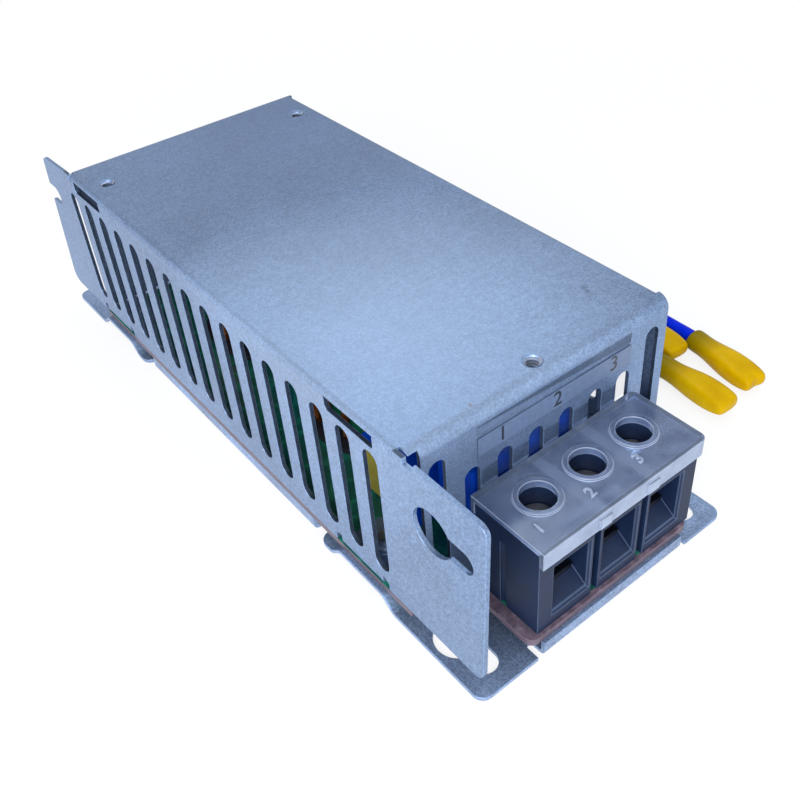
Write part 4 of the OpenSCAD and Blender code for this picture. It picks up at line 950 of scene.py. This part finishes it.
def vinyl():
    """Glossy vinyl: deep yellow, turning olive near the mouth, where it is thin over the lead."""
    material, tree, shader = new_finish(
        "yellow_vinyl", Roughness=0.3, Specular_IOR_Level=0.06)
    at = place(tree)
    clouds = noise(tree, at, 160, 4, 0.55)
    body = ramp(tree, clouds, [(0.3, colour(184, 144, 0)), (0.7, colour(202, 164, 0))])
    mouth = tree.nodes.new("ShaderNodeAttribute")
    mouth.attribute_name = "along"
    thin = ramp(tree, mouth.outputs["Fac"], [(0.0, (1, 1, 1)), (0.16, (0.8, 0.8, 0.8)), (0.42, (0, 0, 0))])
    body = blended(tree, body, colour(120, 104, 0), thin)
    tree.links.new(body, shader.inputs["Base Color"])
    bumped(tree, shader, noise(tree, at, 260, 3), 0.0002, 0.35)
    return material


yellow_vinyl = vinyl()
for boot in boots.values():
    wear(boot, yellow_vinyl)
leads["blue"].data.materials.append(insulation("blue_insulation", colour(0, 28, 186), colour(0, 44, 222)))
leads["brown"].data.materials.append(insulation("brown_insulation", colour(84, 48, 26), colour(110, 66, 38)))
leads["earth"].data.materials.append(
    striped_insulation("earth_insulation", colour(24, 110, 40), colour(225, 200, 20)))
print("leads dressed")

# %% [markdown]
# ## The studio
# The photograph has a white sweep and soft light from above. The floor is a plain
# pale plane. A camera, a mirror-like metal or a clear plastic sees it white, and
# the light that falls on the filter stays at a plain level.

# %% Floor and light
FLOOR_HALF = 0.34


def light_path_mix(tree, seen_white, lit):
    """Shows one shader to the camera, glossy and transmission rays, the other to the rest."""
    rays = tree.nodes.new("ShaderNodeLightPath")
    either = tree.nodes.new("ShaderNodeMath")
    either.operation = "MAXIMUM"
    all_three = tree.nodes.new("ShaderNodeMath")
    all_three.operation = "MAXIMUM"
    tree.links.new(rays.outputs["Is Camera Ray"], either.inputs[0])
    tree.links.new(rays.outputs["Is Glossy Ray"], either.inputs[1])
    tree.links.new(either.outputs[0], all_three.inputs[0])
    tree.links.new(rays.outputs["Is Transmission Ray"], all_three.inputs[1])
    mix = tree.nodes.new("ShaderNodeMixShader")
    tree.links.new(all_three.outputs[0], mix.inputs[0])
    tree.links.new(lit.outputs[0], mix.inputs[1])
    tree.links.new(seen_white.outputs[0], mix.inputs[2])
    return mix


def make_world():
    """A plain world: white to the eye, a soft pale blue as light."""
    world = bpy.data.worlds.new("studio")
    world.use_nodes = True
    tree = world.node_tree
    lit = tree.nodes["Background"]
    lit.inputs["Color"].default_value = (0.93, 0.96, 1.0, 1)
    lit.inputs["Strength"].default_value = 0.65
    seen = tree.nodes.new("ShaderNodeBackground")
    seen.inputs["Color"].default_value = (1, 1, 1, 1)
    seen.inputs["Strength"].default_value = 1.0
    mix = light_path_mix(tree, seen, lit)
    tree.links.new(mix.outputs[0], tree.nodes["World Output"].inputs["Surface"])
    scene.world = world


def make_floor():
    """The table that the filter stands on."""
    bpy.ops.mesh.primitive_plane_add(size=2 * FLOOR_HALF, location=(0, 0, 0))
    floor = bpy.context.object
    floor.name = "floor"
    material = bpy.data.materials.new("floor_paper")
    material.use_nodes = True
    tree = material.node_tree
    paper = tree.nodes["Principled BSDF"]
    paper.inputs["Base Color"].default_value = (0.9, 0.91, 0.93, 1)
    paper.inputs["Roughness"].default_value = 0.9
    white = tree.nodes.new("ShaderNodeEmission")
    white.inputs["Color"].default_value = (1, 1, 1, 1)
    half = tree.nodes.new("ShaderNodeMixShader")
    edge = tree.nodes.new("ShaderNodeMapRange")
    edge.inputs["From Min"].default_value = 0.13
    edge.inputs["From Max"].default_value = 0.30
    edge.inputs["To Min"].default_value = 0.80
    edge.inputs["To Max"].default_value = 1.0
    away = tree.nodes.new("ShaderNodeVectorMath")
    away.operation = "LENGTH"
    tree.links.new(place(tree), away.inputs[0])
    tree.links.new(away.outputs["Value"], edge.inputs["Value"])
    tree.links.new(edge.outputs[0], half.inputs[0])
    tree.links.new(paper.outputs[0], half.inputs[1])
    tree.links.new(white.outputs[0], half.inputs[2])
    mix = light_path_mix(tree, half, paper)
    tree.links.new(mix.outputs[0], tree.nodes["Material Output"].inputs["Surface"])
    floor.data.materials.append(material)


def softbox(name, at, size, power, tint=(1, 1, 1), aim=(0, 0, 0.02)):
    """A square area lamp that looks at a point."""
    bpy.ops.object.light_add(type="AREA", location=at)
    lamp = bpy.context.object
    lamp.name = name
    lamp.data.energy = power
    lamp.data.size = size
    lamp.data.color = tint
    lamp.rotation_euler = (Vector(aim) - Vector(at)).to_track_quat("-Z", "Y").to_euler()
    return lamp


make_world()
make_floor()
softbox("overhead", (0.05, -0.05, 0.9), 0.9, 1.0)
softbox("window_left", (-0.40, -0.38, 0.36), 0.4, 4.6)
softbox("sky_behind", (0.24, 0.36, 0.70), 0.35, 1.0, (0.72, 0.87, 1.0))
scene.view_settings.view_transform = "Standard"
print("studio made")
